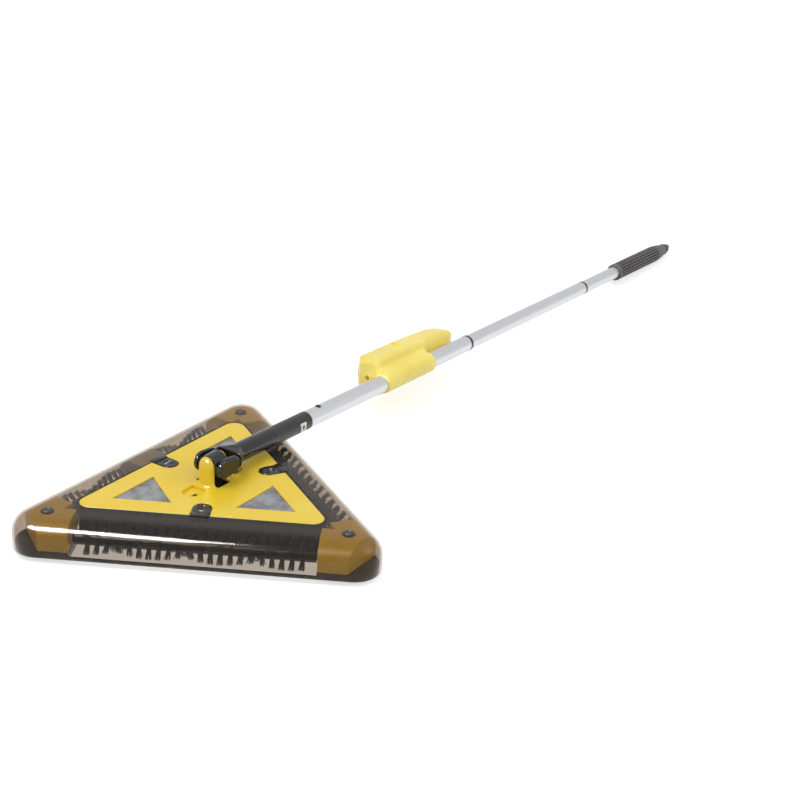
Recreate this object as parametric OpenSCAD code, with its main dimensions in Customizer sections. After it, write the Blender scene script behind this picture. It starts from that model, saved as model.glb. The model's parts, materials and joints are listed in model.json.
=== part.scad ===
// Cordless floor sweeper with a triangular head and three driven brushes.
// The origin is the middle of the head on the floor, +Z is up, and the laid-down handle runs along +Y.

/* [Head] */
// Distance from the head's middle to the outside of each long side
head_inradius = 109.5; // [107:0.5:116]
// Radius of the head's three rounded corners, seen from above
head_corner_r = 26; // [24:0.5:32]
// Height of the head's flat top above the floor
head_top = 40; // [39:0.5:44]
// Radius of the shell's rounded top edge
edge_r = 20; // [17:0.5:20]
// Thickness of the clear shell
shell_wall = 2; // [1.5:0.1:2.4]
// Height of the shell's lower edge above the floor
shell_gap = 5; // [4.5:0.1:6.5]
// Height of the rubber feet
foot_h = 4; // [3:0.5:4]
// Radius of each rubber foot
foot_r = 6; // [4:0.5:8]
// How far a corner screw lies in from the axis of the corner's rounding
screw_inset = 7; // [4:0.5:12]
// Radius of a corner screw's cap
screw_cap_r = 4.8; // [4:0.1:5.5]

/* [Chassis] */
// Thickness of the chassis floor
floor_t = 2; // [1.5:0.1:3]
// Thickness of the channel wall between brush and dust tray
channel_wall = 2.5; // [2:0.1:3.5]
// Thickness of the corner and middle housings
housing_wall = 2; // [1.5:0.1:2.5]
// Where the corner housings start, measured along a side from its middle
housing_start = 113; // [110:0.5:118]
// How far a corner housing stops short of the shell's tip
housing_short = 17; // [10:0.5:18]
// Width of the drive housing in the middle of the user's side
drive_housing_w = 37; // [28:0.5:44]
// Height of the joint between the housings and the chassis
housing_split = 11; // [9:0.5:12]
// Thickness of the dust tray
tray_wall = 1.5; // [1:0.1:2.5]
// Depth of the dust tray
tray_h = 23; // [16:0.5:24]

/* [Brushes] */
// Radius of a brush over its tufts
brush_r = 16.5; // [14.5:0.1:16.5]
// Radius of a brush's core
core_r = 7; // [6:0.1:8]
// Radius of a brush's journals
journal_r = 4; // [3:0.1:4.5]
// Half the length of the tufted part of a brush
tuft_half = 105; // [95:0.5:108]
// Number of spiral rows of tufts
tuft_rows = 4; // [3:1:6]
// Width of a row of tufts
tuft_w = 1.8; // [1:0.1:3]
// Turn of the rows along the whole brush, in degrees
tuft_twist = 300; // [180:10:420]
// Radius of the brush pulley where the belt runs
brush_pulley_r = 9; // [8.5:0.1:10]
// Radius of the motor pulley where the belt runs
motor_pulley_r = 7; // [5:0.1:8]
// Thickness of the drive belt
belt_t = 1.2; // [0.8:0.1:1.6]
// Width of the drive belt
belt_w = 4; // [3:0.1:6]
// Radius of the motor
motor_r = 12; // [10:0.1:12]
// Length of the motor
motor_len = 34; // [26:0.5:36]
// Distance of the motor's shaft from the head's middle
motor_reach = 52; // [51:0.5:54]
// Teeth of each bevel gear
gear_teeth = 12; // [8:1:16]
// Pitch distance from the crossing of two brush axes to a gear's wide end
gear_outer = 24; // [20:0.1:24]
// Length of a bevel gear's teeth
gear_face = 9; // [6:0.1:10]

/* [Lid] */
// Thickness of the lid
lid_t = 3; // [2.5:0.1:3.5]
// Radius of the lid's rounded corners
lid_corner_r = 11; // [8:0.5:14]
// Width of the dark joint line round the lid
lid_gap = 1.5; // [1.3:0.1:2]
// Distance from a window's middle to its sides
window_inradius = 16.2; // [12:0.1:17]
// Distance from the head's middle to a window's middle
window_reach = 67.2; // [64:0.1:68]
// Half the width of a latch
latch_half = 8.8; // [7:0.1:10]
// Distance from the head's middle to a latch's inner tip
latch_tip = 47.4; // [46:0.1:50]
// Distance from the head's middle to a latch's pivot
latch_pivot = 60; // [58:0.1:62]
// How far a latch's nose lies over the shell
latch_lap = 1.3; // [0.8:0.1:2]
// Radius of a latch's pivot pin
latch_pin_r = 1; // [0.7:0.05:1.1]

/* [Joint] */
// Height of the swivel's centre above the head's flat top
pivot_rise = 17; // [16:0.5:20]
// Half the width of an ear, across the swivel axis
ear_half = 9; // [8:0.1:9]
// Thickness of an ear
ear_t = 5.3; // [5:0.1:5.5]
// Rise of the ears above the swivel's centre
ear_rise = 11.5; // [10:0.1:11.5]
// Half the length of the knuckle between the ears
knuckle_half = 8.5; // [7.5:0.1:8.5]
// Radius of the knuckle's barrel
knuckle_r = 12; // [11:0.1:12]
// Radius of the knuckle's trunnions
trunnion_r = 4; // [3:0.1:5]
// Radius of the fork pin
fork_pin_r = 3; // [2:0.1:4]
// Thickness of a fork arm
arm_t = 4.7; // [4:0.1:6]
// Radius of the round end of a fork arm
arm_r = 10.5; // [9:0.1:10.5]
// Depth of the fork's slot from the swivel's centre
slot_depth = 19.5; // [19:0.1:22]

/* [Handle] */
// Distance from the swivel to the end of the black socket
socket_end = 146; // [120:1:170]
// Outer radius of the socket
socket_r = 9.75; // [9.75:0.05:10.5]
// Outer radius of the lower tube
lower_tube_r = 9.5; // [9:0.05:9.5]
// Outer radius of the middle tube
middle_tube_r = 8.75; // [8.5:0.05:9]
// Outer radius of the upper tube
upper_tube_r = 8.5; // [8:0.05:8.7]
// Thickness of the tubes
tube_wall = 1; // [0.8:0.1:1.3]
// Distance from the swivel to the first black ring
lower_ring_at = 467; // [455:1:490]
// Distance from the swivel to the second black ring
upper_ring_at = 773; // [740:1:800]
// Width of the black rings
ring_w = 4; // [3:0.5:6]
// Depth of the joint sleeves in each tube
sleeve_depth = 25; // [15:1:40]
// Depth of the socket's spigot in the lower tube
spigot_depth = 40; // [34:1:60]
// Distance from the swivel to the spring button
button_at = 167; // [160:1:172]
// Radius of the spring button
button_r = 3; // [2:0.1:4]
// Side of the square lock tab
tab_side = 9; // [7:0.5:10]
// Distance from the swivel to the lock tab's middle
tab_at = 130; // [120:1:134]
// Distance from the swivel to the start of the grip
grip_start = 875; // [850:1:890]
// Distance from the swivel to the handle's tip
handle_end = 1056; // [1020:1:1090]
// Radius of the grip
grip_r = 12; // [11:0.1:14]
// Length of the grip's tapered end
grip_taper = 46; // [36:1:60]
// Radius of the grip's tip
grip_tip_r = 6.5; // [6:0.1:8]
// Number of grooves round the grip
grip_grooves = 9; // [5:1:12]
// Radius of the hole to hang the handle by
hang_hole_r = 2.5; // [2:0.1:3]

/* [Battery pack] */
// Distance from the swivel to the collar's lower end
collar_start = 286; // [270:1:300]
// Length of the collar on the tube
collar_len = 104; // [96:1:110]
// Thickness of the collar
collar_wall = 2.2; // [1.5:0.1:3]
// Distance from the tube's axis to the pack's front face
pack_depth = 42.5; // [40:0.5:48]
// Half the width of the pack at its back edges
pack_half = 22; // [20:0.5:26]
// Radius of the pack's long edges
pack_edge_r = 5; // [3:0.5:6]
// Thickness of the pack's walls
pack_wall = 2; // [1.5:0.1:2.2]
// Length of the battery that stands above the seam
battery_len = 78; // [70:1:90]
// Depth of the battery's tongue in the housing
tongue_len = 40; // [30:1:42]
// Radius of a battery cell
cell_r = 7; // [6:0.1:7]
// Length of a battery cell
cell_len = 76; // [60:1:80]
// Radius of the charging socket's bore
jack_r = 2.75; // [2:0.05:3]
// Length of the rocker
rocker_len = 14; // [10:0.5:16]
// Width of the rocker
rocker_w = 9.6; // [7:0.1:11]
// Tilt of the rocker when off, in degrees
rocker_tilt = 8; // [4:1:10]

/* [Hidden] */
$fn = 48;

// Fits and seats
run = 0.05;          // running fit of a journal in its bush
seat = 0.3;          // air between pieces that move past each other
press = 0.03;        // air of a pressed piece
eps = 0.5;           // how far a cut runs past a face
far = 100;           // longer than any piece that it cuts

// The three sides, by the direction that each one faces, and the corner after each
side_dirs = [180, 300, 60];
corner_dirs = [240, 0, 120];

// Head section, measured from the middle of the head
brush_reach = head_inradius - shell_wall - 18;
brush_z = head_top - 21;
channel_reach = brush_reach - brush_r - 1;
inner_reach = channel_reach - channel_wall;
lid_reach = channel_reach - lid_gap;
channel_corner_r = lid_corner_r + lid_gap;
lid_under = head_top - lid_t;
ledge_z = lid_under - 0.7;
rim_t = 1;
rim_z = head_top - 0.7;
seal_t = 0.4;
apex = brush_reach * tan(60);
screw_reach = 2 * (head_inradius - head_corner_r) - screw_inset;
foot_reach = screw_reach - 10;
latch_pin_z = head_top - 1.5;
housing_end = 2 * head_inradius - head_corner_r - housing_short;
drive_half = drive_housing_w / 2;
rail_w = 2;
rail_h = 3;

// Screws
cap_h = 2.8;
screw_shank_r = 1.6;
screw_cup_t = 2;
screw_seat_z = head_top - 5.5;
screw_boss_r = screw_cap_r + 1.4;

// Swivel
pivot_z = head_top + pivot_rise;
socket_bore = 5;
arm_in = knuckle_r + seat;
arm_out = arm_in + arm_t;
grip_shoulder = handle_end - grip_taper;
lean = asin(pivot_z / sqrt(pow(grip_shoulder, 2) + pow(grip_r, 2))) - atan(grip_r / grip_shoulder);

// Pack, measured from the tube's axis and along the tube
body_start = collar_start + 4;
seam_at = collar_start + collar_len + 2;
collar_r = lower_tube_r + run + collar_wall;
cavity_half = pack_half - 4.8;
cavity_back = collar_r + 1.8;
cavity_front = pack_depth - pack_wall - 0.2;
tongue_half = cavity_half - 0.7;
tongue_back = cavity_back + 2;
tongue_front = cavity_front - 1.8;
case_wall = 1.2;
tongue_end = seam_at - tongue_len;
cell_depth = (tongue_back + tongue_front) / 2;
switch_at = body_start + 23;
switch_frame_wall = 0.6;
rocker_pivot = pack_depth - 1.5;
jack_depth = 22;
plug_at = 218;
hang_flat = 4.5;

// ---- shared shapes ----

// The points of an arc about (x, y), for a polygon.
function arc(x, y, r, start, stop) = [for (k = [0 : 12]) let (a = start + (stop - start) * k / 12)
    [x + r * cos(a), y + r * sin(a)]];

// Children in the frame of a side: +X out of it, +Y along it.
module at_side(i) rotate([0, 0, side_dirs[i]]) children();

// Children in the frame of a corner: +X out of it.
module at_corner(i) rotate([0, 0, corner_dirs[i]]) children();

// A triangular plate with round corners, from z0 up to z1.
module tri_plate(reach, corner_r, z0, z1) {
    centre = 2 * (reach - corner_r);
    translate([0, 0, z0]) linear_extrude(z1 - z0) polygon([for (a = corner_dirs)
        each arc(centre * cos(a), centre * sin(a), corner_r, a - 60, a + 60)]);
}

// The head's outer form, drawn in by an inset, down to a given height.
module head_form(inset, bottom) {
    centre = 2 * (head_inradius - head_corner_r);
    r = head_corner_r - inset;
    edge = edge_r - inset;
    hull() for (a = corner_dirs)
        translate([centre * cos(a), centre * sin(a), 0]) rotate_extrude($fn = 36) union() {
            translate([0, bottom]) square([r, head_top - edge_r - bottom]);
            translate([0, bottom]) square([r - edge, head_top - inset - bottom]);
            translate([r - edge, head_top - edge_r]) intersection() {
                circle(r = edge, $fn = 40);
                square(edge);
            }
        }
}

// The corner of the head past a distance along its two sides, in a corner's frame.
module corner_zone(start, reach, z0, z1) {
    depth = head_inradius - reach;
    translate([0, 0, z0]) {
        rotate([0, 0, -30]) translate([start, reach, 0]) cube([far, depth, z1 - z0]);
        rotate([0, 0, 30]) translate([start, -reach - depth, 0]) cube([far, depth, z1 - z0]);
    }
}

// A cylinder along a side, in the side's frame.
module along_side(r, v0, v1, reach, z) translate([reach, v0, z]) rotate([-90, 0, 0])
    cylinder(r = r, h = v1 - v0);

// Children in the handle's frame: +Y along the tube from the swivel.
module on_handle() translate([0, 0, pivot_z]) rotate([-lean, 0, 0]) children();

// A round bar or tube along the handle.
module along_handle(r, t0, t1) translate([0, t0, 0]) rotate([-90, 0, 0]) cylinder(r = r, h = t1 - t0);

module handle_tube(r, t0, t1) difference() {
    along_handle(r, t0, t1);
    along_handle(r - tube_wall, t0 - eps, t1 + eps);
}

// A block on the pack's side of the tube: depth from the axis, along the tube, and half width.
module pack_block(d0, d1, t0, t1, half) translate([-d1, t0, -half]) cube([d1 - d0, t1 - t0, 2 * half]);

// ---- head, fixed pieces ----

module top_shell() color([0.45, 0.42, 0.38, 0.4]) {
    difference() {
        head_form(0, shell_gap);
        head_form(shell_wall, shell_gap - eps);
        tri_plate(channel_reach, channel_corner_r, lid_under - 5, head_top + eps);
        for (i = [0 : 2]) at_corner(i) translate([screw_reach, 0, head_top - shell_wall - eps])
            cylinder(r = screw_cap_r + 0.2, h = shell_wall + 2 * eps);
    }
    for (i = [0 : 2]) at_corner(i) translate([screw_reach, 0, screw_seat_z]) difference() {
        cylinder(r = screw_boss_r, h = head_top - shell_wall - screw_seat_z + eps);
        translate([0, 0, -eps]) cylinder(r = screw_shank_r + 0.2, h = far);
        translate([0, 0, head_top - cap_h - screw_seat_z]) cylinder(r = screw_cap_r + 0.2, h = far);
    }
}

module chassis() color("#232325") difference() {
    union() {
        tri_plate(channel_reach, channel_corner_r, foot_h, ledge_z);
        difference() {
            tri_plate(channel_reach - 0.2, channel_corner_r - 0.2, foot_h, rim_z);
            tri_plate(channel_reach - 0.2 - rim_t, channel_corner_r - 0.2 - rim_t, foot_h - eps, rim_z + eps);
        }
        intersection() {
            head_form(shell_wall + seat, foot_h);
            union() {
                for (i = [0 : 2]) at_corner(i)
                    corner_zone(housing_start, channel_reach - 1, foot_h, housing_split);
                for (i = [0 : 2]) at_side(i)
                    translate([head_inradius - shell_wall - seat - rail_w, -apex, foot_h])
                        cube([2 * rail_w, 2 * apex, rail_h]);
                at_side(0) translate([channel_reach - 1, -drive_half, foot_h])
                    cube([head_inradius, drive_housing_w, housing_split - foot_h]);
            }
        }
    }
    difference() {
        tri_plate(inner_reach, channel_corner_r - channel_wall, foot_h + floor_t, head_top);
        for (v = [12, 32]) at_side(0) translate([motor_reach - motor_r / 2, v, foot_h])
            cube([motor_r, 3, brush_z - foot_h]);
    }
    at_side(0) along_side(motor_r + press, 0, motor_len + 12, motor_reach, brush_z);
    for (i = [0 : 2]) at_side(i) {
        dirt_slots() translate([inner_reach - 1, 0, foot_h + floor_t + 1])
            cube([channel_wall + 2, tuft_half - drive_half - 8, 9]);
        along_side(gear_outer / 2 + 1, apex - 24, apex - 9, brush_reach, brush_z);
        along_side(gear_outer / 2 + 1, -apex + 9, -apex + 24, brush_reach, brush_z);
        along_side(journal_r + 1.5, housing_start - 1, apex - 20, brush_reach, brush_z);
        along_side(journal_r + 1.5, -apex + 20, 1 - housing_start, brush_reach, brush_z);
    }
    at_side(0) {
        along_side(brush_pulley_r + 4, -drive_half + housing_wall, drive_half - housing_wall, brush_reach, brush_z);
        along_side(core_r + 1.2, -drive_half - 1, drive_half + 1, brush_reach, brush_z);
        translate([inner_reach - 1, -belt_w / 2 - 1.5, brush_z - brush_pulley_r - 3])
            cube([brush_reach - inner_reach, belt_w + 3, 2 * brush_pulley_r + 6]);
    }
}

// The two halves of a side's dirt slot, each drawn along +Y.
module dirt_slots() {
    translate([0, drive_half + 2, 0]) children();
    mirror([0, 1, 0]) translate([0, drive_half + 2, 0]) children();
}

module lid_seal() color("#161616") difference() {
    tri_plate(lid_reach - 0.2, lid_corner_r - 0.2, ledge_z, ledge_z + seal_t);
    tri_plate(inner_reach + 0.2, channel_corner_r - channel_wall + 0.2, ledge_z - eps, ledge_z + 2);
    for (i = [0 : 2]) at_side(i) translate([lid_reach - 4, -latch_half - 1, ledge_z - eps])
        cube([8, 2 * latch_half + 2, 3]);
}

module corner_housing(i) color("#d2a81c") at_corner(i) difference() {
    union() {
        intersection() {
            head_form(shell_wall, housing_split);
            corner_zone(housing_start, channel_reach + seat, housing_split, head_top - shell_wall);
            translate([0, -far, 0]) cube([housing_end, 2 * far, far]);
        }
        translate([screw_reach, 0, screw_seat_z - screw_cup_t])
            cylinder(r = screw_boss_r + 2, h = head_top - shell_wall - screw_seat_z + screw_cup_t);
    }
    difference() {
        intersection() {
            head_form(shell_wall + housing_wall, housing_split - eps);
            corner_zone(housing_start + housing_wall, channel_reach + seat + housing_wall,
                housing_split - eps, head_top - shell_wall - housing_wall);
            translate([0, -far, 0]) cube([housing_end - housing_wall, 2 * far, far]);
        }
        translate([screw_reach, 0, screw_seat_z - screw_cup_t]) cylinder(r = screw_boss_r + 2, h = far);
        translate([screw_reach, 0, screw_seat_z - 7]) cylinder(r = screw_shank_r + 1.6, h = far);
    }
    translate([screw_reach, 0, screw_seat_z]) cylinder(r = screw_boss_r + 0.2, h = far);
    translate([screw_reach, 0, screw_seat_z - 7 - eps]) cylinder(r = screw_shank_r + press, h = far);
    rotate([0, 0, -30]) translate([housing_start - 1, brush_reach, brush_z]) rotate([0, 90, 0])
        cylinder(r = journal_r + 2.5, h = housing_wall + 2);
    rotate([0, 0, 30]) translate([housing_start - 1, -brush_reach, brush_z]) rotate([0, 90, 0])
        cylinder(r = journal_r + 2.5, h = housing_wall + 2);
}

module drive_housing() color("#d2a81c") at_side(0) difference() {
    drive_block(drive_half, seat, housing_split);
    drive_block(drive_half - housing_wall, seat + housing_wall, housing_split - eps);
    along_side(core_r + 0.8, -drive_half - 1, drive_half + 1, brush_reach, brush_z);
    translate([channel_reach - 1, -belt_w / 2 - 1.5, brush_z - brush_pulley_r - 3])
        cube([housing_wall + 3, belt_w + 3, 2 * brush_pulley_r + 6]);
}

// The drive housing's block under the shell's rounded edge, in a side's frame.
module drive_block(half, inset, low) {
    r = edge_r - shell_wall - inset;
    centre = head_inradius - edge_r;
    back = channel_reach + inset;
    top = head_top - shell_wall - inset;
    intersection() {
        union() {
            along_side(r, -half, half, centre, head_top - edge_r);
            translate([centre, -half, 0]) cube([r, 2 * half, head_top - edge_r]);
            translate([back, -half, 0]) cube([centre - back, 2 * half, top]);
        }
        translate([back, -half, low]) cube([far, 2 * half, top - low]);
    }
}

module shell_screws() color("#77777a") for (i = [0 : 2]) at_corner(i) translate([screw_reach, 0, 0]) {
    translate([0, 0, head_top - cap_h]) difference() {
        cylinder(r = screw_cap_r, h = cap_h - 0.1);
        for (a = [0, 90]) rotate([0, 0, a]) translate([-2.4, -0.5, cap_h - 1.3]) cube([4.8, 1, 2]);
    }
    translate([0, 0, screw_seat_z - 6]) cylinder(r = screw_shank_r, h = head_top - cap_h - screw_seat_z + 6.1);
}

// A foot near each corner and one under the middle, whose underside is the frame's origin.
module base_feet() color("#1b1b1b") {
    for (i = [0 : 2]) at_corner(i) translate([foot_reach, 0, 0]) cylinder(r = foot_r, h = foot_h);
    cylinder(r = foot_r, h = foot_h);
}

module shaft_bushes() color("#e7e3da") for (i = [0 : 2]) at_side(i) for (m = [0, 1]) mirror([0, m, 0])
    difference() {
        union() {
            along_side(journal_r + 2.5 - press, housing_start, housing_start + 3.5, brush_reach, brush_z);
            along_side(journal_r + 4, housing_start - 0.8, housing_start, brush_reach, brush_z);
        }
        along_side(journal_r + run, housing_start - 2, housing_start + 5, brush_reach, brush_z);
    }

module dust_tray() color([0.62, 0.63, 0.64, 0.8]) {
    out = inner_reach - 0.6;
    out_r = channel_corner_r - channel_wall;
    z0 = foot_h + floor_t;
    back = motor_reach - motor_r - 2;
    v0 = -belt_w / 2 - 5;
    v1 = motor_len + 11;
    difference() {
        tri_plate(out, out_r, z0, z0 + tray_h);
        tri_plate(out - tray_wall, out_r - tray_wall, z0 + tray_wall, z0 + tray_h + eps);
        at_side(0) translate([back, v0, z0 - eps]) cube([far, v1 - v0, tray_h + 2 * eps]);
        for (i = [0 : 2]) at_side(i) dirt_slots(i) translate([out - tray_wall - 1, 0, z0 + tray_wall])
            cube([tray_wall + 2, tuft_half - drive_half - 8, 9]);
    }
    at_side(0) intersection() {
        rotate([0, 0, -side_dirs[0]]) tri_plate(out, out_r, z0, z0 + tray_h);
        difference() {
            translate([back - tray_wall, v0 - tray_wall, z0]) cube([far, v1 - v0 + 2 * tray_wall, tray_h]);
            translate([back, v0, z0 - eps]) cube([far, v1 - v0, tray_h + 2 * eps]);
        }
    }
}

module motor() color("#8f9296") at_side(0) difference() {
    union() {
        along_side(motor_r, 7, 7 + motor_len, motor_reach, brush_z);
        along_side(3, 5.5, 7, motor_reach, brush_z);
    }
    along_side(1.2, 5, 14, motor_reach, brush_z);
}

module pulley(r, bore, reach) difference() {
    union() {
        along_side(r, -belt_w / 2 - 1.5, belt_w / 2 + 1.5, reach, brush_z);
        for (m = [0, 1]) mirror([0, m, 0])
            along_side(r + belt_t + 0.6, belt_w / 2 + 0.5, belt_w / 2 + 1.5, reach, brush_z);
    }
    if (bore > 0) along_side(bore, -far, far, reach, brush_z);
}

module motor_pulley() color("#d8d5cc") at_side(0) {
    pulley(motor_pulley_r, 0, motor_reach);
    along_side(1.2 - run, 3, 13, motor_reach, brush_z);
}

module brush_pulley() color("#d8d5cc") at_side(0) pulley(brush_pulley_r, core_r + press, brush_reach);

// The belt's loop round both pulleys, grown by g, in the plane across a side.
module belt_loop(g, h) {
    gap = brush_reach - motor_reach;
    wrap = 90 + asin((brush_pulley_r - motor_pulley_r) / gap);
    translate([motor_reach, h / 2, brush_z]) rotate([90, 0, 0]) linear_extrude(h) polygon(concat(
        arc(gap, 0, brush_pulley_r + g, -wrap, wrap),
        arc(0, 0, motor_pulley_r + g, wrap, 360 - wrap)));
}

module drive_belt() color("#1a1a1a") at_side(0) difference() {
    belt_loop(0.1 + belt_t, belt_w);
    belt_loop(0.1, belt_w + 1);
}

// ---- brushes ----

module brush_core(i) color("#2a2a2c") at_side(i) {
    along_side(core_r, -housing_start + 2, housing_start - 2, brush_reach, brush_z);
    for (m = [0, 1]) mirror([0, m, 0])
        along_side(journal_r, housing_start - 2.5, apex - gear_outer * cos(30) + 5, brush_reach, brush_z);
}

// A stretch of spiral tuft rows, in a side's frame, from v0 to v1.
module tuft_stretch(v0, v1) translate([brush_reach, v0, brush_z]) rotate([-90, 0, 0])
    linear_extrude(v1 - v0, twist = tuft_twist * (v1 - v0) / (2 * tuft_half), slices = ceil((v1 - v0) / 8), $fn = 3)
        for (k = [0 : tuft_rows - 1]) rotate(k * 360 / tuft_rows)
            translate([core_r + 0.1, -tuft_w / 2]) square([brush_r - core_r - 0.1, tuft_w]);

module brush_tufts(i) color("#4a4a4d") at_side(i) if (i == 0) {
    tuft_stretch(drive_half + 1.5, tuft_half);
    mirror([0, 1, 0]) tuft_stretch(drive_half + 1.5, tuft_half);
} else tuft_stretch(-tuft_half, tuft_half);

// One bevel gear, cut back to its pitch cone, its wide end on the ground.
module bevel_gear() {
    wide = gear_outer * sin(30) - 0.2;
    narrow = (gear_outer - gear_face) * sin(30) - 0.2;
    h = gear_face * cos(30);
    difference() {
        cylinder(r1 = wide, r2 = narrow, h = h);
        translate([0, 0, -eps]) cylinder(r = journal_r + press, h = h + 2 * eps);
        for (k = [0 : gear_teeth - 1]) rotate([0, 0, k * 360 / gear_teeth])
            translate([wide, 0, 0]) rotate([0, -30, 0]) translate([-1.6, -wide * 0.11, -2])
                cube([4, wide * 0.22, gear_face + 4]);
    }
}

module bevel_gears(i) color("#e2ded4") at_side(i) for (m = [0, 1]) mirror([0, m, 0])
    translate([brush_reach, apex - gear_outer * cos(30), brush_z]) rotate([-90, 0, 0]) bevel_gear();

// ---- lid ----

module window_hole(grow, z0, z1) for (a = corner_dirs) rotate([0, 0, a]) translate([window_reach, 0, z0])
    cylinder(r = 2 * (window_inradius + grow), h = z1 - z0, $fn = 3);

// The D-shaped recess beside an ear, drawn in by an inset.
module ear_recess(inset, z0, z1) {
    r = 8.75 - inset;
    translate([-0.75, 31, z0]) cylinder(r = r, h = z1 - z0);
    translate([-0.75 - r, 19 + inset, z0]) cube([2 * r, 12 - inset, z1 - z0]);
}

module ear() {
    ear_in = knuckle_half + seat;
    crown = pivot_z + ear_rise - ear_half;
    difference() {
        union() {
            translate([-ear_half, ear_in, lid_under]) cube([2 * ear_half, ear_t, crown - lid_under]);
            translate([0, ear_in, crown]) rotate([-90, 0, 0]) cylinder(r = ear_half, h = ear_t);
            translate([-ear_half, ear_in + ear_t, lid_under]) cube([2 * ear_half, 1.2, head_top + 4 - lid_under]);
        }
        translate([0, ear_in - 1, pivot_z]) rotate([-90, 0, 0]) cylinder(r = trunnion_r + run, h = 4.6);
    }
}

// The room for a latch, with a round inner end like the latch's own.
module latch_pocket(half, start, stop) linear_extrude(far) polygon(concat(
    arc(start + half, 0, half, 90, 270), [[stop, -half], [stop, half]]));

module lid() color("#e9c93a") {
    well_half = knuckle_half + 0.2;
    pocket_in = latch_tip - 0.6;
    pocket_half = latch_half + 0.5;
    pocket_floor = lid_under - 3.5;
    difference() {
        union() {
            tri_plate(lid_reach, lid_corner_r, lid_under, head_top);
            for (m = [0, 1]) mirror([0, m, 0]) ear_recess(-1.2, lid_under - 1.2, head_top);
            for (i = [0 : 2]) at_side(i) translate([pocket_in - 1.2, -pocket_half - 1.2, pocket_floor - 1.2])
                cube([lid_reach - pocket_in - 4, 2 * pocket_half + 2.4, lid_under - pocket_floor + 1.2 + eps]);
        }
        translate([0, 0, lid_under - eps]) window_cut();
        for (m = [0, 1]) mirror([0, m, 0]) {
            ear_recess(0, head_top - 3, head_top + eps);
            translate([0.5, 27, lid_under - 3]) cube([6, 8, 6]);
        }
        for (i = [0 : 2]) at_side(i) {
            translate([0, 0, pocket_floor]) latch_pocket(pocket_half, pocket_in, lid_reach - 6.4);
            translate([0, 0, lid_under - eps]) latch_pocket(pocket_half, pocket_in, far);
            along_side(latch_pin_r + press, -latch_half - 3, latch_half + 3, latch_pivot, latch_pin_z);
        }
        translate([-14, -well_half, lid_under - eps]) cube([28, 2 * well_half, far]);
        translate([-17, -6, lid_under - eps]) cylinder(r = 0.8, h = far);
    }
    for (m = [0, 1]) mirror([0, m, 0]) ear();
}

module window_cut() {
    rebate = 1.7;
    window_hole(0, 0, far);
    window_hole(1.2, 0, rebate + eps);
}

module window_panes() color([0.56, 0.56, 0.59, 0.6]) window_hole(1.05, lid_under, lid_under + 1.5);

module cable_bushing() color("#1c1c1e") difference() {
    w = 2 * knuckle_half + 0.2;
    union() {
        translate([-13.8, -w / 2, lid_under - 4]) cube([27.6, w, lid_t + 3]);
        translate([-15, -w / 2 - 1.2, lid_under - 4]) cube([30, w + 2.4, 3.9]);
    }
    translate([-12.8, -w / 2 + 1, lid_under - 3]) cube([25.6, w - 2, far]);
    translate([0, 0, lid_under - 5]) cylinder(r = 2.5, h = 5);
}

module latch_pins() color("#b9bbbd") for (i = [0 : 2]) at_side(i)
    along_side(latch_pin_r, -latch_half - 2.5, latch_half + 2.5, latch_pivot, latch_pin_z);

module latch(i) color("#262629") at_side(i) difference() {
    tip_r = latch_half;
    union() {
        translate([latch_tip + tip_r, 0, lid_under + 0.7]) cylinder(r = tip_r, h = lid_t - 0.4);
        translate([latch_tip + tip_r, -latch_half, lid_under + 0.7])
            cube([lid_reach - 0.4 - latch_tip - tip_r, 2 * latch_half, lid_t - 0.4]);
        translate([lid_reach - 4, -latch_half, head_top + 0.2])
            cube([4 + channel_reach - lid_reach + latch_lap, 2 * latch_half, 0.9]);
    }
    along_side(latch_pin_r + run, -far, far, latch_pivot, latch_pin_z);
    translate([latch_tip + tip_r, 0, head_top + 2.2]) sphere(r = 4.5);
}

// ---- swivel ----

module knuckle() color("#202023") translate([0, 0, pivot_z]) difference() {
    union() {
        rotate([90, 0, 0]) cylinder(r = knuckle_r, h = 2 * knuckle_half, center = true);
        rotate([90, 0, 0]) cylinder(r = trunnion_r, h = 2 * (knuckle_half + 3.4), center = true);
    }
    rotate([0, 90, 0]) cylinder(r = fork_pin_r + run, h = far, center = true);
}

module fork_pin() color("#b4b6b8") on_handle() rotate([0, 90, 0])
    cylinder(r = fork_pin_r, h = 2 * (arm_out - 1.5), center = true);

module fork_socket() color("#232326") on_handle() difference() {
    shoulder = slot_depth + 3;
    slot_corner = 4;
    union() {
        rotate([0, 90, 0]) cylinder(r = arm_r, h = 2 * arm_out, center = true);
        translate([-arm_out, 0, -arm_r]) cube([2 * arm_out, shoulder, 2 * arm_r]);
        hull() {
            translate([-arm_out, shoulder - 0.5, -arm_r]) cube([2 * arm_out, 0.5, 2 * arm_r]);
            along_handle(socket_r - 0.05, shoulder + 9, shoulder + 9.5);
        }
        along_handle(socket_r, shoulder + 9, socket_end);
        along_handle(lower_tube_r - tube_wall - run, socket_end - 1, socket_end + spigot_depth);
    }
    translate([0, 0, -far / 2]) linear_extrude(far) polygon(concat(
        [[-arm_in, -far], [arm_in, -far]],
        arc(arm_in - slot_corner, slot_depth - slot_corner, slot_corner, 0, 90),
        arc(slot_corner - arm_in, slot_depth - slot_corner, slot_corner, 90, 180)));
    rotate([0, 90, 0]) cylinder(r = fork_pin_r + press, h = 2 * (arm_out - 1.4), center = true);
    along_handle(socket_bore, shoulder + 5, socket_end + spigot_depth + eps);
    translate([0, button_at, 0]) cylinder(r = button_r + run, h = far);
    translate([socket_bore - eps, tab_at - tab_side / 2 - 0.15, -tab_side / 2 - 0.15])
        cube([far, tab_side + 0.3, tab_side + 0.3]);
}

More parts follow.
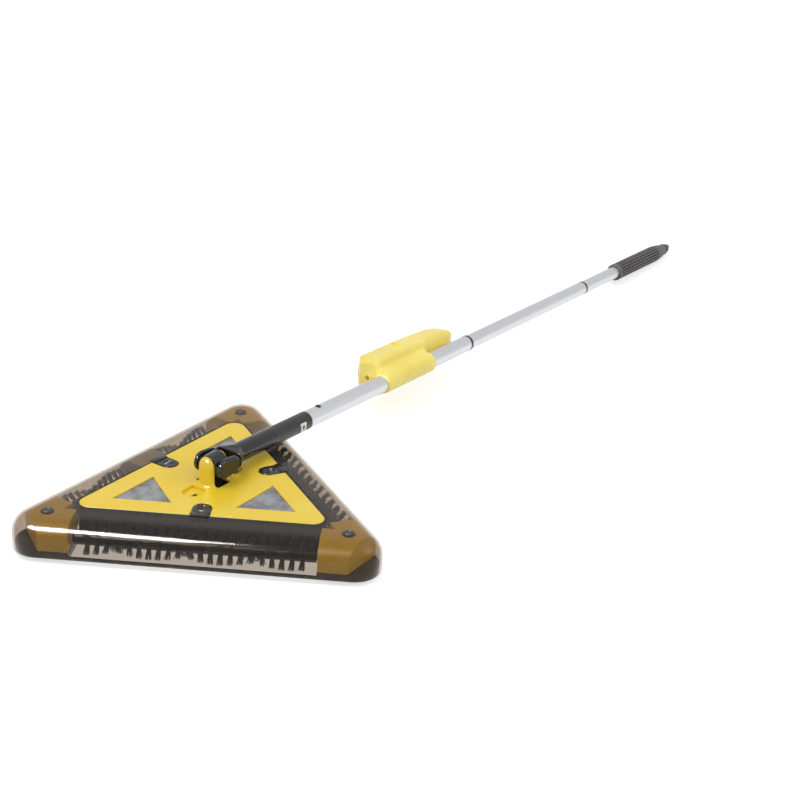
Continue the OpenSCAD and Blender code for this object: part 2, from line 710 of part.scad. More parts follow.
module lock_tab() color("#f2f2f0") on_handle() difference() {
    translate([7.3, tab_at - tab_side / 2, -tab_side / 2]) cube([socket_r + 0.35 - 7.3, tab_side, tab_side]);
    translate([socket_r - 0.5, tab_at - tab_side / 5, -tab_side / 5]) cube([2, tab_side * 0.4, tab_side * 0.4]);
}

// The spring button is a cup with a domed head, over its spring.
module spring_button() color("#1d1d1f") on_handle() translate([0, button_at, 0]) difference() {
    dome_r = (1 + pow(button_r, 2)) / 2;
    union() {
        translate([0, 0, 3]) cylinder(r = button_r, h = lower_tube_r - 3 + 0.4);
        translate([0, 0, lower_tube_r + 0.4]) intersection() {
            translate([0, 0, 1 - dome_r]) sphere(r = dome_r);
            cylinder(r = button_r, h = 1);
        }
    }
    translate([0, 0, 3 - eps]) cylinder(r = button_r - 0.5, h = 5 + eps);
}

// The spring under the button stands on the far wall of the socket's bore.
module button_spring() color("#c3c5c7") on_handle() translate([0, button_at, 0]) difference() {
    translate([0, 0, -socket_bore + 0.6]) cylinder(r = button_r - 0.6, h = 5.6 + socket_bore - 0.6);
    translate([0, 0, -socket_bore]) cylinder(r = button_r - 1.2, h = 20);
}

// ---- handle ----

module tube_lower() color("#c9cacd") on_handle() difference() {
    handle_tube(lower_tube_r, socket_end, lower_ring_at - ring_w / 2);
    translate([0, button_at, 0]) cylinder(r = button_r + 0.25, h = far);
    translate([0, plug_at, 0]) rotate([0, -90, 0]) cylinder(r = 2.5 + press, h = far);
}

module tube_plug() color("#1d1d1f") on_handle() translate([0, plug_at, 0]) rotate([0, -90, 0])
    translate([0, 0, lower_tube_r - tube_wall - 0.2]) cylinder(r = 2.5, h = tube_wall + 0.6);

module tube_middle() color("#c9cacd") on_handle()
    handle_tube(middle_tube_r, lower_ring_at + ring_w / 2, upper_ring_at - ring_w / 2);

module tube_upper() color("#c9cacd") on_handle()
    handle_tube(upper_tube_r, upper_ring_at + ring_w / 2, grip_shoulder - 4);

// A joint sleeve: a ring between two tubes, with a spigot in each.
module joint_sleeve(at, r_low, r_high) on_handle() difference() {
    union() {
        along_handle(r_low + 0.15, at - ring_w / 2, at + ring_w / 2);
        along_handle(r_low - tube_wall - run, at - ring_w / 2 - sleeve_depth, at);
        along_handle(r_high - tube_wall - run, at, at + ring_w / 2 + sleeve_depth);
    }
    along_handle(r_high - tube_wall - 2, at - far, at + far);
}

module joint_sleeve_lower() color("#1d1d1f") joint_sleeve(lower_ring_at, lower_tube_r, middle_tube_r);

module joint_sleeve_upper() color("#1d1d1f") joint_sleeve(upper_ring_at, middle_tube_r, upper_tube_r);

module grip() color("#5a5558") on_handle() {
    body = grip_shoulder - grip_start;
    step = body / (grip_grooves + 1);
    cap_at = grip_shoulder + grip_taper * 0.7;
    cap_r = grip_r + (grip_tip_r - grip_r) * 0.7;
    difference() {
        union() {
            along_handle(grip_r, grip_start + 2, grip_shoulder);
            translate([0, grip_start, 0]) rotate([-90, 0, 0]) cylinder(r1 = grip_r - 1.5, r2 = grip_r, h = 2);
            translate([0, grip_shoulder, 0]) rotate([-90, 0, 0])
                cylinder(r1 = grip_r, r2 = cap_r, h = cap_at - grip_shoulder);
        }
        for (k = [1 : grip_grooves]) translate([0, grip_start + k * step - 1, 0]) rotate([-90, 0, 0])
            difference() {
                cylinder(r = grip_r + 1, h = 2);
                translate([0, 0, -eps]) cylinder(r = grip_r - 1, h = 3);
            }
        along_handle(upper_tube_r + run, grip_start - eps, grip_shoulder - 4);
        along_handle(3, grip_shoulder - 5, cap_at + eps);
    }
}

module end_cap() color("#1f1f21") on_handle() {
    cap_at = grip_shoulder + grip_taper * 0.7;
    cap_r = grip_r + (grip_tip_r - grip_r) * 0.7;
    difference() {
        union() {
            translate([0, cap_at, 0]) rotate([-90, 0, 0])
                cylinder(r1 = cap_r, r2 = grip_tip_r - 1, h = handle_end - cap_at);
            along_handle(3 - run, cap_at - 8, cap_at + 1);
        }
        translate([0, handle_end - 7, 0]) rotate([0, 90, 0]) cylinder(r = hang_hole_r, h = far, center = true);
        for (m = [0, 1]) mirror([m, 0, 0]) translate([hang_flat, handle_end - 12.5, -far / 2]) cube(far);
    }
}

// ---- battery pack ----

// Points of the pack's corners at one place along the tube: front and back, both edges.
module pack_section(t, back, front, half_back, half_front) for (s = [-1, 1]) {
    r = pack_edge_r;
    translate([-back - r, t, s * (half_back - r)]) rotate([-90, 0, 0]) cylinder(r = r, h = 0.4, $fn = 32);
    translate([-front + r, t, s * (half_front - r)]) rotate([-90, 0, 0]) cylinder(r = r, h = 0.4, $fn = 32);
}

module pack_housing() color("#efcf45") on_handle() difference() {
    union() {
        hull() {
            pack_section(body_start, collar_r - 2, pack_depth - 9, pack_half - 2, pack_half - 6);
            pack_section(body_start + 12, collar_r - 2, pack_depth, pack_half + 1.5, pack_half - 2);
            pack_section(seam_at - 0.4, collar_r - 2, pack_depth, pack_half, pack_half - 3);
        }
        along_handle(collar_r, collar_start, collar_start + collar_len);
    }
    along_handle(lower_tube_r + run, collar_start - 1, seam_at + 1);
    pack_block(cavity_back, cavity_front, body_start + 12, seam_at + 1, cavity_half);
    pack_block(cavity_front - 1, pack_depth + 1, switch_at - rocker_len / 2 - 1.6,
        switch_at + rocker_len / 2 + 1.6, rocker_w / 2 + 1.6);
    translate([-jack_depth, body_start - eps, 0]) rotate([-90, 0, 0])
        cylinder(r = jack_r + 2.25 + press, h = 14);
}

module charge_socket() color("#1a1a1c") on_handle() translate([-jack_depth, body_start - 1, 0])
    rotate([-90, 0, 0]) difference() {
        cylinder(r = jack_r + 2.25, h = 14);
        translate([0, 0, -eps]) cylinder(r = jack_r, h = 10 + eps);
    }

module contact_block() color("#2a2a2c") on_handle()
    pack_block(cavity_back + press, cavity_front - press, tongue_end - 8, tongue_end - 2, cavity_half - press);

module pack_contacts() color("#c9a24a") on_handle() for (s = [-1, 1])
    translate([-cell_depth - 4, tongue_end - 2, s * 7 - 2]) cube([8, 1, 4]);

module switch_frame() color("#1c1c1e") on_handle() {
    hole_l = rocker_len / 2 + 0.6;
    hole_w = rocker_w / 2 + 0.4;
    difference() {
        union() {
            pack_block(pack_depth - 9, pack_depth, switch_at - rocker_len / 2 - 1.5,
                switch_at + rocker_len / 2 + 1.5, rocker_w / 2 + 1.5);
            pack_block(pack_depth, pack_depth + 1, switch_at - rocker_len / 2 - 3,
                switch_at + rocker_len / 2 + 3, rocker_w / 2 + 3);
        }
        pack_block(pack_depth - 8, pack_depth + 2, switch_at - hole_l, switch_at + hole_l, hole_w);
        translate([-rocker_pivot, switch_at, 0]) cylinder(r = 1 + run, h = rocker_w + 2.2, center = true);
    }
}

module rocker() color("#2b2b2e") on_handle() translate([-rocker_pivot, switch_at, 0])
    rotate([0, 0, -rocker_tilt]) {
        difference() {
            translate([-3.4, -rocker_len / 2, -rocker_w / 2]) cube([5, rocker_len, rocker_w]);
            translate([-27.4 - rocker_len / 10, 0, 0]) cylinder(r = 26, h = rocker_w + 2, center = true);
        }
        cylinder(r = 1, h = rocker_w + 2, center = true);
    }

module battery_case() color("#efcf45") on_handle() difference() {
    t0 = seam_at + seat;
    union() {
        hull() {
            pack_section(t0, tongue_back - 2, pack_depth, pack_half - 1, pack_half - 3.5);
            pack_section(t0 + battery_len * 0.6, tongue_back - 2, pack_depth - 1.5, pack_half - 3, pack_half - 5);
            pack_section(t0 + battery_len * 0.93, tongue_back, pack_depth - 7, pack_half - 6, pack_half - 8);
            pack_section(t0 + battery_len - 0.4, tongue_back + 3, pack_depth - 11, pack_half - 10, pack_half - 11);
        }
        pack_block(tongue_back, tongue_front, tongue_end, t0 + 1, tongue_half);
    }
    pack_block(tongue_back + case_wall, tongue_front - case_wall, tongue_end + case_wall,
        tongue_end + case_wall + cell_len + 1, tongue_half - case_wall);
}

module battery_cells() color("#5f8f6a") on_handle() for (s = [-1, 1])
    translate([-cell_depth, tongue_end + case_wall + 0.3, s * (cell_r + 0.2)]) rotate([-90, 0, 0])
        cylinder(r = cell_r, h = cell_len);

module battery_contacts() color("#c9a24a") on_handle() for (s = [-1, 1])
    translate([-cell_depth - 3, tongue_end - 0.6, s * 7 - 1.5]) cube([6, 0.6, 3]);

top_shell();
chassis();
lid_seal();
corner_housing(0);  // corner_housing_a
corner_housing(1);  // corner_housing_b
corner_housing(2);  // corner_housing_c
drive_housing();
shell_screws();
base_feet();
shaft_bushes();
dust_tray();
motor();
motor_pulley();
drive_belt();
brush_pulley();
brush_core(0);  // brush_core_a
brush_core(1);  // brush_core_b
brush_core(2);  // brush_core_c
brush_tufts(0);  // brush_tufts_a
brush_tufts(1);  // brush_tufts_b
brush_tufts(2);  // brush_tufts_c
bevel_gears(0);  // bevel_gears_a
bevel_gears(1);  // bevel_gears_b
bevel_gears(2);  // bevel_gears_c
lid();
window_panes();
cable_bushing();
latch_pins();
latch(0);  // latch_a
latch(1);  // latch_b
latch(2);  // latch_c
knuckle();
fork_pin();
fork_socket();
lock_tab();
spring_button();
button_spring();
tube_lower();
tube_middle();
tube_upper();
joint_sleeve_lower();
joint_sleeve_upper();
tube_plug();
grip();
end_cap();
pack_housing();
contact_block();
pack_contacts();
switch_frame();
rocker();
charge_socket();
battery_case();
battery_cells();
battery_contacts();
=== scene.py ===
# %% [markdown]
# # A cordless triangular floor sweeper
# The real object is a low head with three driven brushes under a smoked clear shell, a yellow lid
# with a swivel on it, and a light tube handle that carries a battery pack. The moving bodies and
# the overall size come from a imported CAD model, so it is loaded first, and every piece made here
# rides on one of its bodies. The pieces could also be modelled freely and scaled afterwards, but
# round a fixed frame they fit each other without measuring by eye.

import json
from math import asin, atan, cos, degrees, hypot, pi, radians, sin

import bmesh
import bpy
from mathutils import Matrix, Vector


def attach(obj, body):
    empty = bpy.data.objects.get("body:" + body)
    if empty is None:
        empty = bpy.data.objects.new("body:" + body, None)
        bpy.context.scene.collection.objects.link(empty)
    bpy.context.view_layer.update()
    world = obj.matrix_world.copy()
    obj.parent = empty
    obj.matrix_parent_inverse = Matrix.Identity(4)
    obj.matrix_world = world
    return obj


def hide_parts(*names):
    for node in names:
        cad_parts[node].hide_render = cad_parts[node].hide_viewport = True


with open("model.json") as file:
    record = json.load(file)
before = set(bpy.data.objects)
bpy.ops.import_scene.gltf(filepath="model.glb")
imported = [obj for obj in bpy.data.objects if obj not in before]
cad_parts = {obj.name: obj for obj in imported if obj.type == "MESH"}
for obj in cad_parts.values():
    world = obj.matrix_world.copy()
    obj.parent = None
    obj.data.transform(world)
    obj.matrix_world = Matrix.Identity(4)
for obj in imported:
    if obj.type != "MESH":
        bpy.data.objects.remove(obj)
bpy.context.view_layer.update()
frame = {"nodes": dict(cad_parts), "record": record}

# %% [markdown]
# ## Colour and shader nodes
# Paint and plastic makers give colours as sRGB hex values, but shaders calculate with linear ones.
# The colour picker would convert them one at a time; a function does it for all and leaves the hex
# values readable. A second one adds a shader node with its settings and links, so each material
# below reads as a short list of the nodes it uses.

# %% Colour and node helpers
MM = 0.001


def linear(code):
    """An sRGB hex colour as linear red, green, blue and alpha."""
    parts = [int(code[k:k + 2], 16) / 255 for k in (1, 3, 5)]
    return (*[c / 12.92 if c <= 0.04045 else ((c + 0.055) / 1.055) ** 2.4 for c in parts], 1.0)


def add(owner, kind, settings=None, links=None):
    """Adds a node: lower-case settings are its own, the others are values of its sockets."""
    node = owner.node_tree.nodes.new("ShaderNode" + kind)
    for name, value in (settings or {}).items():
        if isinstance(name, str) and name[0].islower():
            setattr(node, name, value)
        else:
            node.inputs[name].default_value = value
    for name, source in (links or {}).items():
        owner.node_tree.links.new(source, node.inputs[name])
    return node


def new_material(name):
    """A material with an empty node tree."""
    material = bpy.data.materials.new(name)
    material.use_nodes = True
    material.node_tree.nodes.clear()
    return material


print("gloss yellow is", [round(c, 3) for c in linear("#EACB3E")])

# %% [markdown]
# ## Moulded plastics
# Most of the sweeper is injection-moulded ABS: a steel mould gives it a smooth skin with a faint
# orange peel, a little unevenness in gloss, and colour that varies by less than one can name. Flat
# values would look computed, and painted maps would need unwrapping. One recipe serves every
# plastic instead: a noise with a few millimetres between its waves drives the bump, and a much
# larger one shifts gloss and colour slightly. A noise on Object coordinates counts waves for each
# metre, so a grain size in millimetres is 1000 divided by the scale.

# %% Plastic recipe
CLOUD_MM, GLOSS_SPREAD = 60, 0.06


def moulded(name, colour, shade, roughness, grain_mm=2.5, grain_depth_mm=0.01, ior=1.53):
    """A moulded plastic or rubber, with two close colours that drift into each other."""
    material = new_material(name)
    coords = add(material, "TexCoord").outputs["Object"]
    cloud = add(material, "TexNoise", {"Scale": 1000 / CLOUD_MM, "Detail": 3.0},
                {"Vector": coords})
    grain = add(material, "TexNoise", {"Scale": 1000 / grain_mm, "Detail": 2.0},
                {"Vector": coords})
    tone = add(material, "ValToRGB", {}, {"Fac": cloud.outputs["Fac"]})
    tone.color_ramp.elements[0].position = 0.35
    tone.color_ramp.elements[0].color = linear(shade)
    tone.color_ramp.elements[1].position = 0.65
    tone.color_ramp.elements[1].color = linear(colour)
    gloss = add(material, "MapRange",
                {"From Min": 0.3, "From Max": 0.7, "To Min": roughness - GLOSS_SPREAD / 2,
                 "To Max": roughness + GLOSS_SPREAD / 2}, {"Value": cloud.outputs["Fac"]})
    bump = add(material, "Bump", {"Distance": grain_depth_mm * MM},
               {"Height": grain.outputs["Fac"]})
    skin = add(material, "BsdfPrincipled", {"IOR": ior},
               {"Base Color": tone.outputs["Color"], "Roughness": gloss.outputs["Result"],
                "Normal": bump.outputs["Normal"]})
    add(material, "OutputMaterial", {}, {"Surface": skin.outputs["BSDF"]})
    return material


abs_yellow = moulded("abs_yellow_gloss", "#EACB3E", "#E9C620", 0.26)
abs_yellow_pack = moulded("abs_yellow_satin", "#FBE876", "#F5DC62", 0.34)
abs_gold = moulded("abs_yellow_housing", "#EAC81E", "#DEB916", 0.30)
abs_sand = moulded("abs_sand", "#B0A592", "#A09582", 0.35)
core_black = moulded("abs_black_roller", "#121213", "#0D0D0E", 0.22, ior=1.3)
abs_black_gloss = moulded("abs_black_gloss", "#232325", "#1C1C1E", 0.14, grain_depth_mm=0.004)
abs_black = moulded("abs_black_satin", "#262628", "#1E1E20", 0.34)
abs_lug = moulded("abs_grey_satin", "#3B3A3B", "#333233", 0.40)
nylon_white = moulded("nylon_white", "#E9E6DD", "#DEDAD0", 0.42, grain_mm=1.5)
print("plastics:", len(bpy.data.materials))

# %% [markdown]
# ## Smoked clear plastic
# The shell and the lid's windows are moulded from clear polycarbonate with a smoke tint. Full
# refraction would be physically right, but a wall of 2 mm hardly bends what lies behind it, and it
# would leave the brushes inside in the dark. So each face of the wall filters the light like
# tinted film: white turns to smoke and black stays black. Over that lies a mirror that grows
# towards shallow angles, as on any glossy plastic, and a thin haze from dust and fine scratches.
# Layer Weight's Facing drives both, since it works from either side. The wall ripples slowly, and
# dust gathers in patches some 14 mm wide.

# %% Smoked plastics
RIPPLE_MM, RIPPLE_DEPTH_MM, PATCH_MM = 35, 0.02, 14
MIRROR_AHEAD, MIRROR_GRAZING, MIRROR_POWER = 0.015, 0.8, 5.0


def smoked(name, tint, haze_colour, haze, grazing_haze, roughness=0.09, patches=0.0):
    """Tinted film under haze and a mirror. The haze is given for a straight and a grazing look."""
    material = new_material(name)
    coords = add(material, "TexCoord").outputs["Object"]
    ripple = add(material, "TexNoise", {"Scale": 1000 / RIPPLE_MM, "Detail": 1.0},
                 {"Vector": coords})
    bump = add(material, "Bump", {"Distance": RIPPLE_DEPTH_MM * MM},
               {"Height": ripple.outputs["Fac"]})
    facing = add(material, "LayerWeight", {"Blend": 0.5}).outputs["Facing"]
    steep = add(material, "Math", {"operation": "POWER", 1: MIRROR_POWER}, {0: facing})
    mirror = add(material, "MapRange", {"To Min": MIRROR_AHEAD, "To Max": MIRROR_GRAZING},
                 {"Value": steep.outputs["Value"]})
    clouding = add(material, "MapRange", {"To Min": haze, "To Max": grazing_haze},
                   {"Value": facing})
    fluff = add(material, "TexNoise", {"Scale": 1000 / PATCH_MM, "Detail": 3.0},
                {"Vector": coords})
    level = add(material, "MapRange",
                {"From Min": 0.4, "From Max": 0.6, "To Min": 1 - patches, "To Max": 1 + patches},
                {"Value": fluff.outputs["Fac"]})
    amount = add(material, "Math", {"operation": "MULTIPLY"},
                 {0: clouding.outputs["Result"], 1: level.outputs["Result"]})
    film = add(material, "BsdfTransparent", {"Color": linear(tint)})
    dust = add(material, "BsdfPrincipled", {"Base Color": linear(haze_colour), "Roughness": 0.5})
    gloss = add(material, "BsdfGlossy", {"Color": linear("#FFFFFF"), "Roughness": roughness},
                {"Normal": bump.outputs["Normal"]})
    body = add(material, "MixShader", {},
               {0: amount.outputs["Value"], 1: film.outputs["BSDF"], 2: dust.outputs["BSDF"]})
    skin = add(material, "MixShader", {},
               {0: mirror.outputs["Result"], 1: body.outputs["Shader"], 2: gloss.outputs["BSDF"]})
    add(material, "OutputMaterial", {}, {"Surface": skin.outputs["Shader"]})
    return material


smoked_shell = smoked("polycarbonate_smoked", "#E6DFD8", "#7C7067", 0.005, 0.14)
smoked_window = smoked("polycarbonate_grey", "#D3D5D9", "#BFC0C5", 0.32, 0.50, 0.08, patches=0.28)
tray_clear = smoked("polypropylene_natural", "#DCDCDB", "#C9C5C0", 0.62, 0.80, 0.25)
print("smoked:", smoked_shell.name, smoked_window.name, tray_clear.name)

# %% [markdown]
# ## Metals
# The tubes are aluminium, drawn, brushed along their length and anodised: a satin metal whose
# lines stretch a highlight across the tube. An anisotropic shader would need tangents, so the
# lines come from a noise that is squeezed round the tube and stretched along it. Real brushing
# lines are some hundredths of a millimetre wide and are drawn half a millimetre wide here, so that
# they show. Pins and the motor's can are plated steel, and the contacts are brass. A metal's
# colour is its reflection, so it is bright, and its index of refraction stays at the default.

# %% Metals
LINE_DEPTH_MM, METAL_SPREAD = 0.002, 0.04


def metal(name, colour, shade, roughness, line_mm=0.5, stretch=60.0):
    """A metal with lines along Y, or with an even grain where stretch is 1."""
    material = new_material(name)
    coords = add(material, "TexCoord").outputs["Object"]
    placed = add(material, "Mapping", {"Scale": (1.0, 1.0 / stretch, 1.0)}, {"Vector": coords})
    lines = add(material, "TexNoise", {"Scale": 1000 / line_mm, "Detail": 2.0},
                {"Vector": placed.outputs["Vector"]})
    tone = add(material, "ValToRGB", {}, {"Fac": lines.outputs["Fac"]})
    tone.color_ramp.elements[0].position = 0.3
    tone.color_ramp.elements[0].color = linear(shade)
    tone.color_ramp.elements[1].position = 0.7
    tone.color_ramp.elements[1].color = linear(colour)
    gloss = add(material, "MapRange",
                {"To Min": roughness - METAL_SPREAD, "To Max": roughness + METAL_SPREAD},
                {"Value": lines.outputs["Fac"]})
    bump = add(material, "Bump", {"Distance": LINE_DEPTH_MM * MM},
               {"Height": lines.outputs["Fac"]})
    skin = add(material, "BsdfPrincipled", {"Metallic": 1.0},
               {"Base Color": tone.outputs["Color"], "Roughness": gloss.outputs["Result"],
                "Normal": bump.outputs["Normal"]})
    add(material, "OutputMaterial", {}, {"Surface": skin.outputs["BSDF"]})
    return material


aluminium = metal("aluminium_brushed_anodised", "#D9DADD", "#CFD0D3", 0.36)
steel = metal("steel_plated", "#C2C3C5", "#B4B5B8", 0.28, 0.8, 1.0)
brass = metal("brass_contact", "#D9B25C", "#CBA24C", 0.30, 0.8, 1.0)
print("metals:", aluminium.name, steel.name, brass.name)

# %% [markdown]
# ## Rubber, bristles and cell wrap
# Grip, seal, feet and belt are moulded rubber: rough, nearly without a highlight, with a grain
# from the mould that is drawn a little coarser than it is. The bristles are black nylon strands
# with a soft sheen. The cells wear a shrink-wrapped film. All of them are moulded or drawn
# plastics too, so the recipe for plastic is used again with rougher settings.

# %% Rubber, bristles and film
rubber_grip = moulded("rubber_grip", "#6B6669", "#5E5A5D", 0.62, grain_mm=0.8,
                      grain_depth_mm=0.05, ior=1.5)
rubber_black = moulded("rubber_black", "#232323", "#1B1B1B", 0.70, grain_mm=0.8,
                       grain_depth_mm=0.04, ior=1.5)
bristle = moulded("nylon_bristle", "#2B2A2B", "#1A1A1B", 0.42, grain_mm=1.2, grain_depth_mm=0.02)
cell_film = moulded("shrink_film", "#5E9A6C", "#548C61", 0.30)
print("materials so far:", len(bpy.data.materials))

# %% [markdown]
# ## Materials on the CAD nodes
# Small and inner parts keep their CAD shape, so each only gets its finish. Choosing it by hand for
# every node would be long, but the record already names a material slot for each, and one table
# turns a slot into a finish. A second, short table holds the nodes that differ from their slot.

# %% Finish of each slot
finishes = {
    "smoked_clear": smoked_shell, "window_clear": smoked_window, "tray_clear": tray_clear,
    "black_gloss": abs_black_gloss, "black_plastic": abs_black, "grey_plastic": abs_lug,
    "yellow_gloss": abs_yellow, "white_plastic": nylon_white, "bristle": bristle,
    "silver_tube": aluminium, "steel": steel, "brass": brass,
    "grip_rubber": rubber_grip, "black_rubber": rubber_black, "cell_wrap": cell_film,
}
own_finish = {
    "brush_core_a": core_black, "brush_core_b": core_black, "brush_core_c": core_black,
    "corner_housing_a": abs_gold, "corner_housing_b": abs_gold, "corner_housing_c": abs_gold,
    "drive_housing": abs_sand, "charge_socket": abs_yellow_pack,
}
slot_of = {part["node"]: part["material_slot"] for part in frame["record"]["subparts"]}
for node, thing in frame["nodes"].items():
    thing.data.materials.clear()
    thing.data.materials.append(own_finish.get(node, finishes[slot_of[node]]))
print("finished nodes:", len(frame["nodes"]))

# %% [markdown]
# ## Frames to build in
# The head is built round its middle on the floor. The handle lies back by a few degrees, until its
# grip rests on the floor. Its pieces could be drawn leaning, but they are simpler to build along
# +Y from the swivel and to turn down with one matrix. The main sizes are the CAD model's own. A
# rounded triangle is given by its reach, from the middle to a side, and by its corners' radius.

# %% Sizes and places, in millimetres
HEAD_REACH, HEAD_CORNER, HEAD_TOP, EDGE = 109.5, 26.0, 40.0, 20.0
OPENING_REACH, OPENING_CORNER = 72.0, 12.5
LID_REACH = 70.5
# Directions from the middle, in the order a, b, c: CORNERS to a corner, SIDES to a brush.
CORNERS = [radians(a) for a in (240, 0, 120)]
SIDES = [radians(a) for a in (180, 300, 60)]
PIVOT, GRIP_REST, GRIP_REST_R = 57.0, 1010.0, 12.0
LEAN = asin(PIVOT / hypot(GRIP_REST, GRIP_REST_R)) - atan(GRIP_REST_R / GRIP_REST)
ON_HANDLE = Matrix.Translation((0, 0, PIVOT * MM)) @ Matrix.Rotation(-LEAN, 4, "X")
TO_METRES = Matrix.Scale(MM, 4)
print("handle leans", round(degrees(LEAN), 3), "degrees")

# %% [markdown]
# ## From a bmesh to a piece
# Each mesh is built in millimetres, then placed into its vertices in metres, so that the finished
# object sits at the origin. Moving the object would be quicker, but patterns on Object coordinates
# would then slide. Edges sharper than 30 degrees stay crisp, and the rest are smooth. A Bevel
# modifier rounds the crisp edges of a moulded part by a few tenths of a millimetre, because no
# mould has a perfect edge.

# %% Piece helpers
def put(name, data):
    """A new object in the scene for a mesh, a lamp or a camera."""
    thing = bpy.data.objects.new(name, data)
    bpy.context.collection.objects.link(thing)
    return thing


def piece(name, bm, body, material, place=Matrix(), replaces=(), bevel_mm=0.0, sharp=30.0):
    """Turns a bmesh in millimetres into a piece that rides on a body."""
    bmesh.ops.transform(bm, matrix=place @ TO_METRES, verts=bm.verts)
    for face in bm.faces:
        face.smooth = True
    for edge in bm.edges:
        edge.smooth = len(edge.link_faces) == 2 and edge.calc_face_angle(0) < radians(sharp)
    mesh = bpy.data.meshes.new(name)
    bm.to_mesh(mesh)
    bm.free()
    thing = put(name, mesh)
    mesh.materials.append(material)
    if bevel_mm:
        rounding = thing.modifiers.new("rounded_edges", "BEVEL")
        rounding.width, rounding.segments = bevel_mm * MM, 2
        rounding.limit_method, rounding.angle_limit = "ANGLE", radians(sharp)
        rounding.harden_normals = True
    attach(thing, body)
    if replaces:
        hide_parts(*replaces)
    print(name, "faces:", len(mesh.polygons))
    return thing


print("a millimetre becomes", TO_METRES[0][0], "m")

# %% [markdown]
# ## Small mesh helpers
# A mesh from a spin or a fill has doubled corners and faces that may point inwards, where light
# and the export would see a hole. One helper repairs both. The others pick edges by where they lie
# or what they are, and round them; doing that by index would break with every change of a size.

# %% Mesh helpers
MERGE, CAD_MERGE, LEVEL = 0.001, 0.002, 0.01


def outward(bm):
    """Merges doubles and turns every face outwards."""
    bmesh.ops.remove_doubles(bm, verts=bm.verts, dist=MERGE)
    bmesh.ops.recalc_face_normals(bm, faces=bm.faces)
    return bm


def soften(bm, edges, radius, segments):
    """Rounds chosen edges of a bmesh."""
    bmesh.ops.bevel(bm, geom=edges, offset=radius, segments=segments, profile=0.5,
                    affect="EDGES", clamp_overlap=False, material=-1)


def edges_in(geometry):
    """The edges among an operator's results."""
    return [item for item in geometry if isinstance(item, bmesh.types.BMEdge)]


def verts_in(geometry):
    """The corners among an operator's results."""
    return [item for item in geometry if isinstance(item, bmesh.types.BMVert)]


def rims(bm, height):
    """The open edges at a height."""
    return [e for e in bm.edges
            if e.is_boundary and all(abs(v.co.z - height) < LEVEL for v in e.verts)]


print("the shell's corners turn", 2 * (HEAD_REACH - HEAD_CORNER), "mm from the middle")

# %% [markdown]
# ## Turned and swept shapes
# Everything round on the sweeper can be turned from half a profile, as on a lathe. The shell and
# its opening are triangles with round corners. Extruding such a triangle and bevelling its edges
# would squeeze the corners, so one profile is spun round each corner and the sides are bridged.

# %% Lathe and triangle sweep
CORNER_STEPS = 12


def lathe(bm, profile, steps, centre=(0, 0, 0), axis=(0, 0, 1)):
    """Spins a profile of (radius, place along the axis) all the way round."""
    line = [bm.verts.new(Vector(centre) + Vector((r, 0, 0)) + t * Vector(axis))
            for r, t in profile]
    wire = [bm.edges.new(pair) for pair in zip(line, line[1:])]
    bmesh.ops.spin(bm, geom=line + wire, cent=centre, axis=axis, angle=2 * pi, steps=steps,
                   use_merge=True)


def triangle_sweep(bm, reach, corner, profile):
    """Spins a profile of (distance from the corner's axis, height) round each corner."""
    starts, ends = [], []
    for turn in CORNERS:
        axis = 2 * (reach - corner) * Vector((cos(turn), sin(turn), 0))
        out = Vector((cos(turn - radians(60)), sin(turn - radians(60)), 0))
        line = [bm.verts.new(axis + r * out + Vector((0, 0, z))) for r, z in profile]
        wire = [bm.edges.new(pair) for pair in zip(line, line[1:])]
        spun = bmesh.ops.spin(bm, geom=line + wire, cent=axis, axis=(0, 0, 1),
                              angle=radians(120), steps=CORNER_STEPS)
        starts.append(wire)
        ends.append(edges_in(spun["geom_last"]))
    for k in range(3):
        bmesh.ops.bridge_loops(bm, edges=ends[k] + starts[(k + 1) % 3])


def quarter(r, rise, low, count=8):
    """A rounded edge as (distance, height) pairs, from upright to flat."""
    return [(r - rise + rise * cos(radians(90) * k / count),
             low + rise * sin(radians(90) * k / count)) for k in range(count + 1)]


print("the shell's edge runs through", len(quarter(HEAD_CORNER, EDGE, HEAD_TOP - EDGE, 10)),
      "points")

# %% [markdown]
# ## Smoked shell
# The shell is one moulding with a rounded upper edge 20 mm in radius. It is open below and has a
# rounded triangular opening on top for the lid. A Solidify modifier could give it its wall, but
# the profile here runs down the inside, round the foot and up the outside, which gives the foot
# its rounded rim. The screw holes with their bosses are turned, and the flat top is filled last.

# %% Shell
WALL, FOOT_Z, SCREW_REACH = 2.0, 5.1, 160.0
CAP_HOLE, SCREW_HOLE, BOSS_R = 5.0, 2.0, 6.2
CAP_SEAT, BOSS_Z, TURNED = HEAD_TOP - 3, HEAD_TOP - 5.5, 32
screw_spots = [SCREW_REACH * Vector((cos(turn), sin(turn), 0)) for turn in CORNERS]

shell = bmesh.new()
inside = quarter(HEAD_CORNER - WALL, EDGE - WALL, HEAD_TOP - EDGE)
outside = quarter(HEAD_CORNER, EDGE, HEAD_TOP - EDGE, 10)
foot = [(HEAD_CORNER - WALL, FOOT_Z + 0.5), (HEAD_CORNER - WALL + 0.4, FOOT_Z),
        (HEAD_CORNER - 0.4, FOOT_Z), (HEAD_CORNER, FOOT_Z + 0.5)]
triangle_sweep(shell, HEAD_REACH, HEAD_CORNER, inside[::-1] + foot + outside)
triangle_sweep(shell, OPENING_REACH, OPENING_CORNER, [
    (OPENING_CORNER, HEAD_TOP - WALL), (OPENING_CORNER, HEAD_TOP - 0.5),
    (OPENING_CORNER + 0.5, HEAD_TOP)])
for spot in screw_spots:
    lathe(shell, [(CAP_HOLE, HEAD_TOP), (CAP_HOLE, CAP_SEAT), (SCREW_HOLE, CAP_SEAT),
                  (SCREW_HOLE, BOSS_Z), (BOSS_R, BOSS_Z), (BOSS_R, HEAD_TOP - WALL)],
          TURNED, spot)
